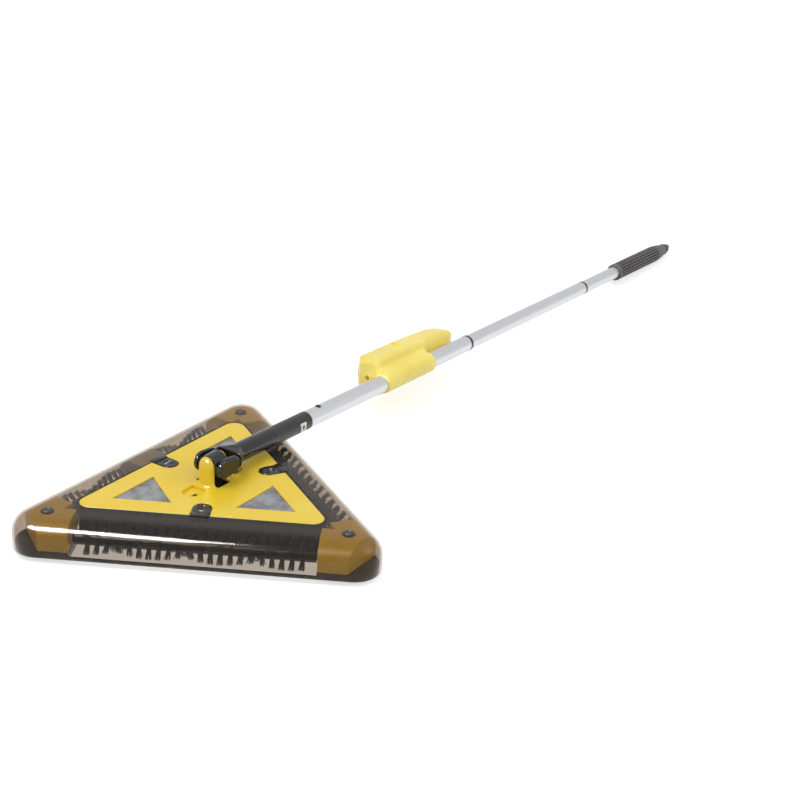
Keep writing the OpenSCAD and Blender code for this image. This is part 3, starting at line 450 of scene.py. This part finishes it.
for height in (HEAD_TOP, HEAD_TOP - WALL):
    bmesh.ops.triangle_fill(shell, edges=rims(shell, height), use_beauty=True)
piece("shell", outward(shell), "head", smoked_shell, replaces=["top_shell"], sharp=40)

# %% [markdown]
# ## Screw caps
# A grey cap closes each screw hole near the shell's corners. A cylinder with a bevel would do for
# the cap alone, but a turned profile gives the shallow ring on top and the shank below in one go.

# %% Screw caps
SHANK_R, CAP_EDGE_R = 1.5, 4.7
shank_end = min(v.co.z for v in frame["nodes"]["shell_screws"].data.vertices) / MM
caps = bmesh.new()
for spot in screw_spots:
    lathe(caps, [(SHANK_R, shank_end), (SHANK_R, CAP_SEAT + 0.1), (CAP_EDGE_R, CAP_SEAT + 0.1),
                 (CAP_EDGE_R, HEAD_TOP - 0.6), (4.4, HEAD_TOP - 0.25), (3.6, HEAD_TOP - 0.15),
                 (3.4, HEAD_TOP - 0.4), (0.02, HEAD_TOP - 0.4)], TURNED, spot)
bmesh.ops.holes_fill(caps, edges=[e for e in caps.edges if e.is_boundary])
piece("screw_caps", outward(caps), "head", abs_lug, replaces=["shell_screws"])

# %% [markdown]
# ## Corner and drive housings
# In each corner a yellow housing covers the bevel gears that carry the drive from one brush to the
# next, and one more housing covers the motor's belt. Their CAD shape is right, but has knife-sharp
# edges, so it isn't drawn again: a copy of the node is merged, its flat faces are joined, and its
# edges get a small radius. Each copy also shrinks by one or two percent, which leaves a little air
# under the shell, so that the smoke-tinted wall reads as a skin of its own.


# %% Rounded copies of CAD parts
def rounded(name, node, body, material, bevel_mm, shrink=0.0):
    """A copy of a CAD node with rounded edges."""
    bm = bmesh.new()
    bm.from_mesh(frame["nodes"][node].data)
    bmesh.ops.transform(bm, matrix=frame["nodes"][node].matrix_world, verts=bm.verts)
    bmesh.ops.scale(bm, vec=(1 / MM, 1 / MM, 1 / MM), verts=bm.verts)
    bmesh.ops.remove_doubles(bm, verts=bm.verts, dist=CAD_MERGE)
    if shrink:
        middle = sum((v.co for v in bm.verts), Vector()) / len(bm.verts)
        bmesh.ops.scale(bm, vec=(1 - shrink,) * 3, space=Matrix.Translation(-middle),
                        verts=bm.verts)
    bmesh.ops.dissolve_limit(bm, angle_limit=radians(2), verts=bm.verts, edges=bm.edges)
    return piece(name, bm, body, material, replaces=[node], bevel_mm=bevel_mm, sharp=32.0)


for letter in "abc":
    rounded("gear_housing_" + letter, "corner_housing_" + letter, "head", abs_gold, 1.2, 0.018)
rounded("drive_cover", "drive_housing", "head", abs_sand, 0.8, 0.012)

# %% [markdown]
# ## Brushes
# Each brush carries four rows of tufts that wind round its core. A tuft is a pinch of nylon
# strands, set in one hole, that fans out towards its tips. Hair would look finer, but it can't be
# exported as a mesh, so one strand is a thin three-sided cone, which keeps thousands of them
# light. The middle of brush a stays free for the drive belt.

# %% Brush tufts
CORE_R, TIP_R, BRUSH_REACH, BRUSH_Z = 7.0, 16.4, 89.5, 19.0
TUFT_HALF, BELT_HALF, PITCH, ROWS, TWIST = 105.0, 22.0, 9.4, 4, 300.0
STRANDS, STRAND_R, TAPER, ROOT_SPREAD, TIP_SPREAD = 15, 0.6, 0.6, 3.4, 5.4
STRAY_OUT, STRAY_ALONG, SWAY = 0.5, 0.4, 0.10


def strand(bm, root, tip):
    """One tapered strand between two points."""
    along = tip - root
    turn = along.to_track_quat("Z", "Y").to_matrix().to_4x4()
    bmesh.ops.create_cone(bm, cap_ends=True, segments=3, radius1=STRAND_R,
                          radius2=STRAND_R * TAPER, depth=along.length,
                          matrix=Matrix.Translation((root + tip) / 2) @ turn)


def tufts(bm, starts):
    """Fans of strands along X, the brush's own axis. Odd factors keep the fans from matching."""
    for row in range(ROWS):
        for k, start in enumerate(starts):
            angle = radians(TWIST * start / (2 * TUFT_HALF)) + row * 2 * pi / ROWS
            for n in range(STRANDS):
                share = n / (STRANDS - 1) - 0.5
                wobble = sin(7.1 * k + 2.3 * n + row)
                lean = angle + SWAY * cos(5.3 * n + k)
                root = Vector((start + ROOT_SPREAD * share, CORE_R * sin(angle),
                               CORE_R * cos(angle)))
                reach = TIP_R - STRAY_OUT - STRAY_OUT * wobble
                tip = Vector((start + TIP_SPREAD * share + STRAY_ALONG * wobble,
                              reach * sin(lean), reach * cos(lean)))
                strand(bm, root, tip)


count = int(2 * TUFT_HALF / PITCH)
places = [(k - (count - 1) / 2) * PITCH for k in range(count)]
for letter, turn in zip("abc", SIDES):
    hairs = bmesh.new()
    tufts(hairs, [p for p in places if letter != "a" or abs(p) > BELT_HALF])
    beside = Matrix.Rotation(turn, 4, "Z") @ \
        Matrix.Translation((BRUSH_REACH * MM, 0, BRUSH_Z * MM)) @ \
        Matrix.Rotation(radians(90), 4, "Z")
    piece("bristles_" + letter, hairs, "brush_" + letter, bristle, beside,
          ["brush_tufts_" + letter], sharp=80)

# %% [markdown]
# ## Lid
# The lid is a 3 mm plate with three windows, a recess for a finger, and two ears that hold the
# swivel. The plate could be drawn anew, but the CAD model's fits the windows and latches exactly.
# So its copy is cut off flat at the top face, which takes the square ears away, and the rims of
# its openings are bevelled. The tiny hole beside the swivel keeps its sharp rim, since edges
# within
# 2 mm of it are left out. The top face is filled again at the end, because a face with so many
# holes in it doesn't split cleanly into triangles.

# %% Lid plate
DOT = Vector((-17, -6, HEAD_TOP))
DOT_CLEAR, OPENING_ROUND = 2, 0.55

plate = bmesh.new()
plate.from_mesh(frame["nodes"]["lid"].data)
bmesh.ops.scale(plate, vec=(1 / MM, 1 / MM, 1 / MM), verts=plate.verts)
bmesh.ops.remove_doubles(plate, verts=plate.verts, dist=CAD_MERGE)
sliced = bmesh.ops.bisect_plane(plate, geom=plate.verts[:] + plate.edges[:] + plate.faces[:],
                                dist=MERGE, plane_co=(0, 0, HEAD_TOP + LEVEL),
                                plane_no=(0, 0, 1), clear_outer=True)
bmesh.ops.triangle_fill(plate, edges=edges_in(sliced["geom_cut"]), use_beauty=True)
for vert in plate.verts:
    vert.co.z = min(vert.co.z, HEAD_TOP)
bmesh.ops.remove_doubles(plate, verts=plate.verts, dist=CAD_MERGE)
bmesh.ops.recalc_face_normals(plate, faces=plate.faces)
bmesh.ops.dissolve_limit(plate, angle_limit=radians(2), verts=plate.verts, edges=plate.edges)
opening_rims = [e for e in plate.edges
                if all(abs(v.co.z - HEAD_TOP) < LEVEL for v in e.verts)
                and e.is_manifold and e.calc_face_angle() > radians(60)
                and (e.verts[0].co - DOT).length > DOT_CLEAR]
soften(plate, opening_rims, OPENING_ROUND, 3)
top = [f for f in plate.faces if all(abs(v.co.z - HEAD_TOP) < LEVEL / 2 for v in f.verts)]
bmesh.ops.delete(plate, geom=top, context="FACES")
bmesh.ops.triangle_fill(plate, edges=rims(plate, HEAD_TOP), use_beauty=True)
bmesh.ops.recalc_face_normals(plate, faces=plate.faces)
piece("lid_plate", plate, "lid", abs_yellow, replaces=["lid"], sharp=12)

# %% [markdown]
# ## Joint line
# The lid sits in the shell's opening with a fine gap, which the eye reads as a dark line. A gap
# this narrow would fill with light from the clear shell beside it, so a thin black ring in the
# opening makes the line certain.

# %% Painted gap shade
RING_IN, RING_OUT = 1.35, 0.15
# The black ring is painted shade for the gap between lid and shell.
gap_shade = bmesh.new()
triangle_sweep(gap_shade, OPENING_REACH, OPENING_CORNER, [(OPENING_CORNER - inset, z) for inset, z in (
    (RING_IN, HEAD_TOP - 0.6), (RING_IN, HEAD_TOP - 0.1),
    (RING_OUT, HEAD_TOP - 0.1), (RING_OUT, HEAD_TOP - 0.6))])
piece("gap_shade_ring", gap_shade, "head", rubber_black)

# %% [markdown]
# ## Ears
# Two thumb-like ears rise from the lid and hold the swivel between them. A cube with a bevelled
# top would look cut, so a full dome is turned round an upright axis, flattened, and cut off where
# the swivel moves. A flare at its foot lets it grow out of the plate.

# %% Ears
EAR_IN, EAR_HALF, EAR_OUT, EAR_TOP = 8.8, 9.0, 15.0, 68.4
dome = [(EAR_HALF * cos(radians(a)), PIVOT + (EAR_TOP - PIVOT) * sin(radians(a)))
        for a in range(0, 91, 9)]
flare = [(EAR_HALF + 2.2, HEAD_TOP - 0.2), (EAR_HALF + 1.1, HEAD_TOP + 0.4),
         (EAR_HALF + 0.4, HEAD_TOP + 1.4), (EAR_HALF, HEAD_TOP + 3.0)]
for side, name in ((-1, "ear_front"), (1, "ear_back")):
    ear = bmesh.new()
    lathe(ear, flare + dome, 48)
    bmesh.ops.remove_doubles(ear, verts=ear.verts, dist=MERGE)
    bmesh.ops.scale(ear, vec=(1, (EAR_OUT - EAR_IN) / EAR_HALF, 1), verts=ear.verts)
    bmesh.ops.translate(ear, vec=(0, side * EAR_IN, 0), verts=ear.verts)
    bmesh.ops.bisect_plane(ear, geom=ear.verts[:] + ear.edges[:] + ear.faces[:], dist=MERGE,
                           plane_co=(0, side * EAR_IN, 0), plane_no=(0, -side, 0),
                           clear_outer=True)
    bmesh.ops.holes_fill(ear, edges=[e for e in ear.edges if e.is_boundary])
    piece(name, outward(ear), "lid", abs_yellow, sharp=50)

# %% [markdown]
# ## Blended mouldings
# The swivel's fork and the battery pack are mouldings whose parts flow into each other. Drawing
# every fillet by hand would take long, so simple solids are laid into one another, a voxel Remesh
# fuses them, and a Smooth modifier melts the corners into fillets of a millimetre or two. A
# Boolean then cuts openings with crisp rims, and the result is applied, so that its edges can be
# marked sharp or smooth. First come the solids: rods, boxes, and hulls wrapped round a few rings,
# which have rounded edges from the start.

# %% Solids and hulls
ALONG, ACROSS, STRAIGHT = (90, 0, 0), (0, 90, 0), (0, 0, 0)


def solid(bm, kind, spot, turn, **sizes):
    """Lays a rod or a box into bm at a spot, turned by degrees about X, Y and Z."""
    matrix = Matrix.Translation(spot)
    for axis, angle in zip("XYZ", turn):
        matrix = matrix @ Matrix.Rotation(radians(angle), 4, axis)
    if kind == "rod":
        bmesh.ops.create_cone(bm, cap_ends=True, segments=48, radius1=sizes["r"],
                              radius2=sizes["r"], depth=sizes["depth"], matrix=matrix)
    else:
        bmesh.ops.create_cube(bm, size=1.0, matrix=matrix @ Matrix.Diagonal((*sizes["box"], 1.0)))


def wrap(bm, rings, turn="X"):
    """The convex hull of (centre, radius) rings across the handle, or along it with turn Y."""
    fresh = []
    for centre, r in rings:
        ring = bmesh.ops.create_circle(bm, segments=20, radius=r,
                                       matrix=Matrix.Translation(centre) @
                                       Matrix.Rotation(radians(90), 4, turn))
        fresh += ring["verts"]
    hull = bmesh.ops.convex_hull(bm, input=fresh, use_existing_faces=False)
    waste = set(verts_in(hull["geom_interior"] + hull["geom_unused"]))
    bmesh.ops.delete(bm, geom=list(waste), context="VERTS")


print("a rod along the handle turns by", ALONG, "and one across it by", ACROSS)

# %% [markdown]
# ## Blend and carve
# The three modifiers could stay live, but sharp edges can only be marked on the finished faces. So
# the evaluated mesh replaces the raw one, and the Boolean's tool is thrown away.

# %% Blend and carve
CRISP = 40


def carve(thing, cutter, place):
    """Cuts a bmesh out of a piece. The tool it returns has to stay until that is applied."""
    bmesh.ops.transform(cutter, matrix=place @ TO_METRES, verts=cutter.verts)
    mesh = bpy.data.meshes.new("tool")
    cutter.to_mesh(mesh)
    cutter.free()
    tool = put("tool", mesh)
    cut = thing.modifiers.new("carve", "BOOLEAN")
    cut.operation, cut.solver, cut.object, cut.use_self = "DIFFERENCE", "EXACT", tool, True
    return tool


def mark_edges(mesh):
    """Marks the edges of a mesh sharp or smooth by their angle."""
    bm = bmesh.new()
    bm.from_mesh(mesh)
    for edge in bm.edges:
        edge.smooth = not edge.is_manifold or edge.calc_face_angle() < radians(CRISP)
    for face in bm.faces:
        face.smooth = True
    bm.to_mesh(mesh)
    bm.free()


def blended(name, bm, body, material, replaces, voxel_mm, rounds=8, cutter=None,
            place=ON_HANDLE):
    """A piece whose solids are fused and melted, unless voxel_mm is 0, and then cut."""
    thing = piece(name, bm, body, material, place, replaces)
    if voxel_mm:
        fuse = thing.modifiers.new("fuse", "REMESH")
        fuse.mode, fuse.voxel_size, fuse.use_smooth_shade = "VOXEL", voxel_mm * MM, True
        melt = thing.modifiers.new("melt", "SMOOTH")
        melt.factor, melt.iterations = 0.5, rounds
    tool = carve(thing, cutter, place) if cutter else None
    shaped = thing.evaluated_get(bpy.context.evaluated_depsgraph_get())
    thing_mesh = bpy.data.meshes.new_from_object(shaped)
    thing.modifiers.clear()
    thing.data = thing_mesh
    if tool:
        bpy.data.objects.remove(tool)
    mark_edges(thing_mesh)
    print(name, "blended faces:", len(thing_mesh.polygons))


print("edges over", CRISP, "degrees stay crisp")

# %% [markdown]
# ## Latches
# Three black latches hold the lid. Each is a thin lever with a round inner end, an oval dish for a
# finger, and a lap that reaches over the shell's edge. The dish could be modelled with loops, but
# cutting it with a flattened sphere is exact and takes two lines. The same cutter bores the hole
# for the pin.

# %% Latch levers
LATCH_TIP, LATCH_HALF, LATCH_END, LATCH_LOW = 47.4, 8.8, 73.3, 37.7
LATCH_BACK, LATCH_ROUND, DISH = LID_REACH - 0.4, 0.45, (5.9, 5.0, 2.0)
PIN_X, PIN_Z, PIN_BORE = LATCH_TIP + 12.6, HEAD_TOP - 1.5, 1.05
LAP_FROM, LAP_THICK, LAP_ROUND = LID_REACH - 4, 0.88, 0.25
middle = LATCH_TIP + LATCH_HALF
outline = [(middle + LATCH_HALF * cos(radians(a)), LATCH_HALF * sin(radians(a)))
           for a in range(90, 271, 6)] + [(LATCH_BACK, -LATCH_HALF), (LATCH_BACK, LATCH_HALF)]
for letter, turn in zip("abc", SIDES):
    beside = Matrix.Rotation(turn, 4, "Z")
    lever = bmesh.new()
    base = lever.faces.new([lever.verts.new((x, y, LATCH_LOW)) for x, y in outline])
    lifted = bmesh.ops.extrude_face_region(lever, geom=[base])
    bmesh.ops.translate(lever, vec=(0, 0, HEAD_TOP + 0.3 - LATCH_LOW),
                        verts=verts_in(lifted["geom"]))
    top_rim = [e for e in lever.edges if all(v.co.z > HEAD_TOP for v in e.verts)]
    bmesh.ops.recalc_face_normals(lever, faces=lever.faces)
    soften(lever, top_rim, LATCH_ROUND, 3)
    dish = bmesh.new()
    bmesh.ops.create_uvsphere(dish, u_segments=40, v_segments=20, radius=1.0,
                              matrix=Matrix.Translation((middle + 0.6, 0, HEAD_TOP + 0.4)) @
                              Matrix.Diagonal((*DISH, 1.0)))
    solid(dish, "rod", (PIN_X, 0, PIN_Z), ALONG, r=PIN_BORE, depth=30)
    blended("latch_lever_" + letter, lever, "latch_" + letter, abs_black_gloss,
            ["latch_" + letter], voxel_mm=0, cutter=dish, place=beside)
    lap = bmesh.new()
    solid(lap, "box", ((LAP_FROM + LATCH_END) / 2, 0, HEAD_TOP + 0.65), STRAIGHT,
          box=(LATCH_END - LAP_FROM, 2 * LATCH_HALF, LAP_THICK))
    soften(lap, lap.edges[:], LAP_ROUND, 2)
    piece("latch_lap_" + letter, lap, "latch_" + letter, abs_black_gloss, beside)

# %% [markdown]
# ## Swivel
# The knuckle is a glossy black barrel between the ears. The fork straddles it: two thick arms with
# round ends that run together in a shoulder and on into the socket round the lower tube. Arms and
# shoulder could be bevelled cubes, but convex hulls round a few rings are rounder from the start,
# and blending makes one moulding of them.

# %% Fork
ARM_IN, ARM_OUT, ARM_R, ARM_LENGTH, EYE_R = 12.25, 17.05, 10.2, 12, 3.05
SHOULDER_HALF, SHOULDER_AT, SHOULDER_R, SHOULDER_END = 11.4, 22.2, 5.2, 34
SOCKET_R, NECK_AT, NECK_LENGTH = 9.75, 60, 60
fork = bmesh.new()
for side in (-1, 1):
    arm = [((side * x, t, 0), r - inset) for t, r in ((0, ARM_R), (ARM_LENGTH, ARM_R - 1.0))
           for x, inset in ((ARM_IN, 0), (ARM_OUT - 1.5, 0), (ARM_OUT, 1.6))]
    wrap(fork, arm, "Y")
shoulder = [((side * SHOULDER_HALF, SHOULDER_AT, z), SHOULDER_R)
            for z in (2.6, -2.0) for side in (-1, 1)]
wrap(fork, shoulder + [((0, SHOULDER_END, 0), SOCKET_R)])
solid(fork, "rod", (0, NECK_AT, 0), ALONG, r=SOCKET_R + 0.12, depth=NECK_LENGTH)
eye = bmesh.new()
solid(eye, "rod", (0, 0, 0), ACROSS, r=EYE_R, depth=2 * ARM_OUT - 2.8)
blended("fork", fork, "handle", abs_black_gloss, ["fork_socket"], voxel_mm=0.55, rounds=14,
        cutter=eye)

# %% [markdown]
# ## Socket and knuckle
# The socket's far part is plain and round, so it is turned, which keeps it smoother than a blended
# one. It ends in a thin spigot inside the tube. The knuckle's CAD shape only needs softer edges.

# %% Socket and knuckle
SOCKET_START, SOCKET_END, SPIGOT_R, SPIGOT_END, SOCKET_BORE = 85, 146.0, 8.45, 186, 5
sleeve = bmesh.new()
lathe(sleeve, [(SOCKET_R, SOCKET_START), (SOCKET_R, SOCKET_END - 0.6),
               (SOCKET_R - 0.5, SOCKET_END), (SPIGOT_R, SOCKET_END), (SPIGOT_R, SPIGOT_END),
               (SOCKET_BORE, SPIGOT_END), (SOCKET_BORE, SOCKET_START)], 64, axis=(0, 1, 0))
piece("socket_sleeve", outward(sleeve), "handle", abs_black, ON_HANDLE)
rounded("knuckle_barrel", "knuckle", "knuckle", abs_black_gloss, bevel_mm=1.6)

# %% [markdown]
# ## Battery pack
# The pack's housing is a box that grows out of a collar round the lower tube, with a wide web
# between them. Hulls round four corner rings give the box its taper, and blending gives the web
# its fillets, which would be hard to bevel. A Boolean hollows it for the battery and opens it for
# the switch, the charging socket and the tube.


# %% Pack housing
PACK_R, PACK_NEAR, PACK_FAR = 5.0, 9.8, 42.5
PACK_START, SEAM, COLLAR_R, COLLAR_AT, COLLAR_LENGTH = 290.0, 392.0, 11.8, 334, 96
WEB_DROP, WEB_HALF, WEB_R, COLLAR_ENDS = -20, 12, 5, (293, 377)
CHARGE_AT, SWITCH_AT, BATTERY_AT, TUBE_AT, TUBE_FIT = 296, 313, 348, 338, 9.55


def pack_rings(t, near, far, near_half, far_half):
    """The four rounded corners of the pack at a place along the handle."""
    return [((-near - PACK_R, t, side * (near_half - PACK_R)), PACK_R) for side in (-1, 1)] + \
           [((-far + PACK_R, t, side * (far_half - PACK_R)), PACK_R) for side in (-1, 1)]


housing = bmesh.new()
wrap(housing, pack_rings(PACK_START, PACK_NEAR, 33.5, 19.5, 15.5) +
     pack_rings(PACK_START + 12, PACK_NEAR, PACK_FAR, 23, 19.5) +
     pack_rings(SEAM, PACK_NEAR, PACK_FAR, 21.8, 18.8))
solid(housing, "rod", (0, COLLAR_AT, 0), ALONG, r=COLLAR_R, depth=COLLAR_LENGTH)
web = [((WEB_DROP, t, side * WEB_HALF), WEB_R) for t in (CHARGE_AT, SEAM - 3) for side in (-1, 1)]
wrap(housing, [((0, t, 0), COLLAR_R - 0.4) for t in COLLAR_ENDS] + web)
hollow = bmesh.new()
solid(hollow, "box", (-26.9, BATTERY_AT, 0), STRAIGHT, box=(26.4, 92, 34.4))
solid(hollow, "box", (-42, SWITCH_AT, 0), STRAIGHT, box=(6, 17.2, 12.8))
solid(hollow, "rod", (-22, CHARGE_AT, 0), ALONG, r=5.03, depth=14)
solid(hollow, "rod", (0, TUBE_AT, 0), ALONG, r=TUBE_FIT, depth=120)
blended("pack_body", housing, "handle", abs_yellow_pack, ["pack_housing"], voxel_mm=0.9,
        rounds=14, cutter=hollow)

# %% [markdown]
# ## Battery
# The battery closes the pack's open end: a tapered block that overhangs the tube, with a fine seam
# between the two, and a tongue that slides into the housing. Two small raised marks stand on the
# housing's side. The block is blended like the housing, so that both look like one moulding;
# tongue and marks are simpler, so they are boxes with softened edges.

# %% Battery and marks
MARKS_AT, MARKS_FACE, TONGUE_AT = 356, 21.0, 373
marks = bmesh.new()
for across in (-31, -21):
    solid(marks, "box", (across, MARKS_AT, MARKS_FACE), (0, 7.5, 30), box=(9, 1.8, 2.4))
soften(marks, marks.edges[:], 0.5, 2)
piece("pack_marks", marks, "handle", abs_yellow_pack, ON_HANDLE)
case = bmesh.new()
start = SEAM + 0.6
wrap(case, pack_rings(start, 13.6, PACK_FAR, 21, 18.3) +
     pack_rings(start + 36, 13.6, PACK_FAR - 1, 19.5, 17.5) +
     pack_rings(start + 56, 14.5, 38.5, 17, 15.5) +
     pack_rings(start + 66, 16.5, 34, 13.5, 12.5) +
     pack_rings(start + 70, 19, 31, 10, 9.5))
blended("battery_block", case, "battery", abs_yellow_pack, ["battery_case"], voxel_mm=0.9)
tongue = bmesh.new()
solid(tongue, "box", (-27, TONGUE_AT, 0), STRAIGHT, box=(22.9, 42, 33))
soften(tongue, tongue.edges[:], 0.8, 2)
piece("battery_tongue", tongue, "battery", abs_yellow_pack, ON_HANDLE)

# %% [markdown]
# ## Grip
# The grip is a grey rubber sleeve with rows of small raised pads between darker grooves. Cutting
# the grooves into it would take hundreds of cuts, so a dark sleeve is laid round the grey one
# where the pads will stand. The grip's end tapers to its cap.

# %% Grip sleeve
GRIP_START, GRIP_SHOULDER, GRIP_CAP, CAP_R = 875.0, 1010.0, 1042.2, 8.15
GRIP_R, GROOVE_R, PAD_R, ROUND = 10.6, 11.05, 10.9, (0, 1, 0)
sleeve = bmesh.new()
lathe(sleeve, [(8.6, GRIP_START + 1), (GRIP_R, GRIP_START), (11.7, GRIP_START + 0.8),
               (11.8, GRIP_START + 4.4), (GRIP_R, GRIP_START + 5), (GRIP_R, GRIP_SHOULDER - 4),
               (11.5, GRIP_SHOULDER - 3), (11.2, GRIP_SHOULDER + 3), (10.1, 1024.0),
               (CAP_R - 0.7, GRIP_CAP - 0.5), (3.2, GRIP_CAP - 0.5)], 48, axis=ROUND)
piece("grip_sleeve", outward(sleeve), "handle", rubber_grip, ON_HANDLE, ["grip"], sharp=35)
grooves = bmesh.new()
lathe(grooves, [(10.0, GRIP_START + 4), (GROOVE_R, GRIP_START + 4.6),
                (GROOVE_R, GRIP_SHOULDER - 3.6), (10.0, GRIP_SHOULDER - 3)], 48, axis=ROUND)
piece("grip_grooves", outward(grooves), "handle", rubber_black, ON_HANDLE, sharp=35)

# %% [markdown]
# ## Grip pads
# The pads are low rubber cushions in rows. A bump map would vanish at the grip's outline, so they
# are real: a tube of rings and sectors is spun and turned outwards, each face is inset, the rims
# are thrown away, and what is left is lifted. The cap behind them has the hole for hanging; its
# CAD shape only needs softer edges.

# %% Grip pads and cap
PAD_ROWS, PADS_ROUND, GROOVE_HALF, PAD_SLOPE, PAD_RISE = 11, 18, 0.75, 0.35, 0.85
pads = bmesh.new()
lathe(pads, [(PAD_R, GRIP_START + 5.5 + k * (GRIP_SHOULDER - 10 - GRIP_START) / PAD_ROWS)
             for k in range(PAD_ROWS + 1)], PADS_ROUND, axis=ROUND)
squares = pads.faces[:]
bmesh.ops.reverse_faces(pads, faces=squares)
grooved = bmesh.ops.inset_individual(pads, faces=squares, thickness=GROOVE_HALF, depth=0.0,
                                     use_even_offset=True)
bmesh.ops.delete(pads, geom=grooved["faces"], context="FACES_ONLY")
bmesh.ops.inset_individual(pads, faces=squares, thickness=PAD_SLOPE, depth=PAD_RISE,
                           use_even_offset=True)
bmesh.ops.delete(pads, geom=[e for e in pads.edges if not e.link_faces], context="EDGES")
piece("grip_pads", pads, "handle", rubber_grip, ON_HANDLE, sharp=60)
rounded("grip_cap", "end_cap", "handle", abs_black, bevel_mm=0.5)

# %% [markdown]
# ## Camera
# The camera stands where the object is seen from above its front side. A short lens close by would
# make the head huge and the grip tiny, so a long lens looks from over a metre away. Its direction
# is given by the way to its right and the way behind it, and the third way follows from them.

# %% Camera
camera = put("camera", bpy.data.cameras.new("camera"))
right = Vector((0.8303, 0.5551, 0.0501)).normalized()
back = Vector((0.4888, -0.7683, 0.4132)).normalized()
up = back.cross(right).normalized()
right = up.cross(back)
camera.matrix_world = Matrix.Translation((0.8160, -0.9571, 0.7004)) @ \
    Matrix((right, up, back)).transposed().to_4x4()
camera.data.lens, camera.data.sensor_width, camera.data.clip_start = 65.95, 36, 0.05
bpy.context.scene.camera = camera
bpy.context.scene.view_settings.view_transform = "Standard"
print("camera at", [round(c, 3) for c in camera.location])

# %% [markdown]
# ## Lamps
# One lamp would either leave the far side black or wash the near side out. So a broad one above
# does the shading, a weak one fills the far side, and a wide one in front, which only mirrors
# see, draws the bright line on the shell's rounded edge. The broad one is hidden from mirrors, so
# that it leaves no second line.


# %% Lamps
def lamp(name, spot, target, size, power):
    """A rectangular lamp that looks at a target."""
    light = bpy.data.lights.new(name, "AREA")
    light.shape, (light.size, light.size_y), light.energy = "RECTANGLE", size, power
    thing = put(name, light)
    spot, target = Vector(spot), Vector(target)
    thing.matrix_world = Matrix.Translation(spot) @ \
        (target - spot).to_track_quat("-Z", "Y").to_matrix().to_4x4()
    return thing


key = lamp("key", (-0.6, -0.5, 1.8), (0.05, 0.15, 0), (1.0, 1.0), 11)
key.visible_glossy = False
streak = lamp("streak", (-0.08, -1.38, 1.42), (0.05, -0.09, 0), (1.15, 0.5), 120)
streak.visible_diffuse = False
lamp("fill", (1.4, 0.6, 1.2), (0, 0.3, 0), (1.0, 1.0), 6)
print("lamps:", key.name, streak.name, "fill")

# %% [markdown]
# ## World
# The surroundings are a plain, pale studio. As bright as they should look, they would wash the
# object out, so the world shines a little more for rays from the camera, a mirror or clear plastic
# than for the light that falls on things. Its colour stays at the node's own pale grey.

# %% World
SKY_LIGHT, SKY_SEEN = 0.86, 1.0


def plain_sight(owner):
    """1 for rays from the camera, a mirror or glass, and 0 for light that falls on things."""
    rays = add(owner, "LightPath").outputs
    seen = add(owner, "Math", {"operation": "MAXIMUM"},
               {0: rays["Is Camera Ray"], 1: rays["Is Glossy Ray"]})
    return add(owner, "Math", {"operation": "MAXIMUM"},
               {0: seen.outputs["Value"], 1: rays["Is Transmission Ray"]}).outputs["Value"]


world = bpy.data.worlds.new("studio")
bpy.context.scene.world = world
world.use_nodes = True
world.node_tree.nodes.clear()
level = add(world, "MapRange", {"To Min": SKY_LIGHT, "To Max": SKY_SEEN},
            {"Value": plain_sight(world)})
sky = add(world, "Background", {}, {"Strength": level.outputs["Result"]})
add(world, "OutputWorld", {}, {"Surface": sky.outputs["Background"]})
print("world:", world.name)

# %% [markdown]
# ## Floor
# The floor has to look white and still show a soft shadow. White paint alone would throw too much
# light up at the object, and a floor that only glows would show no shadow. So grey paint takes the
# lamps' light and the shadow, and a glow that only plain sight sees lifts it to white.

# %% Floor
FLOOR_GREY, FLOOR_GLOW, FLOOR_HALF = 0.62, 0.62, 12

floor_paint = new_material("floor_white")
paint = add(floor_paint, "BsdfDiffuse", {"Color": (FLOOR_GREY, FLOOR_GREY, FLOOR_GREY, 1)})
glow_level = add(floor_paint, "MapRange", {"To Min": 0.0, "To Max": FLOOR_GLOW},
                 {"Value": plain_sight(floor_paint)})
glow = add(floor_paint, "Emission", {"Color": linear("#FFFFFF")},
           {"Strength": glow_level.outputs["Result"]})
both = add(floor_paint, "AddShader", {}, {0: paint.outputs["BSDF"], 1: glow.outputs["Emission"]})
add(floor_paint, "OutputMaterial", {}, {"Surface": both.outputs["Shader"]})
ground = bmesh.new()
bmesh.ops.create_grid(ground, x_segments=1, y_segments=1, size=FLOOR_HALF)
floor_mesh = bpy.data.meshes.new("floor")
ground.to_mesh(floor_mesh)
ground.free()
floor_mesh.materials.append(floor_paint)
floor = put("floor", floor_mesh)
print("floor:", round(floor.dimensions.x), "m wide")
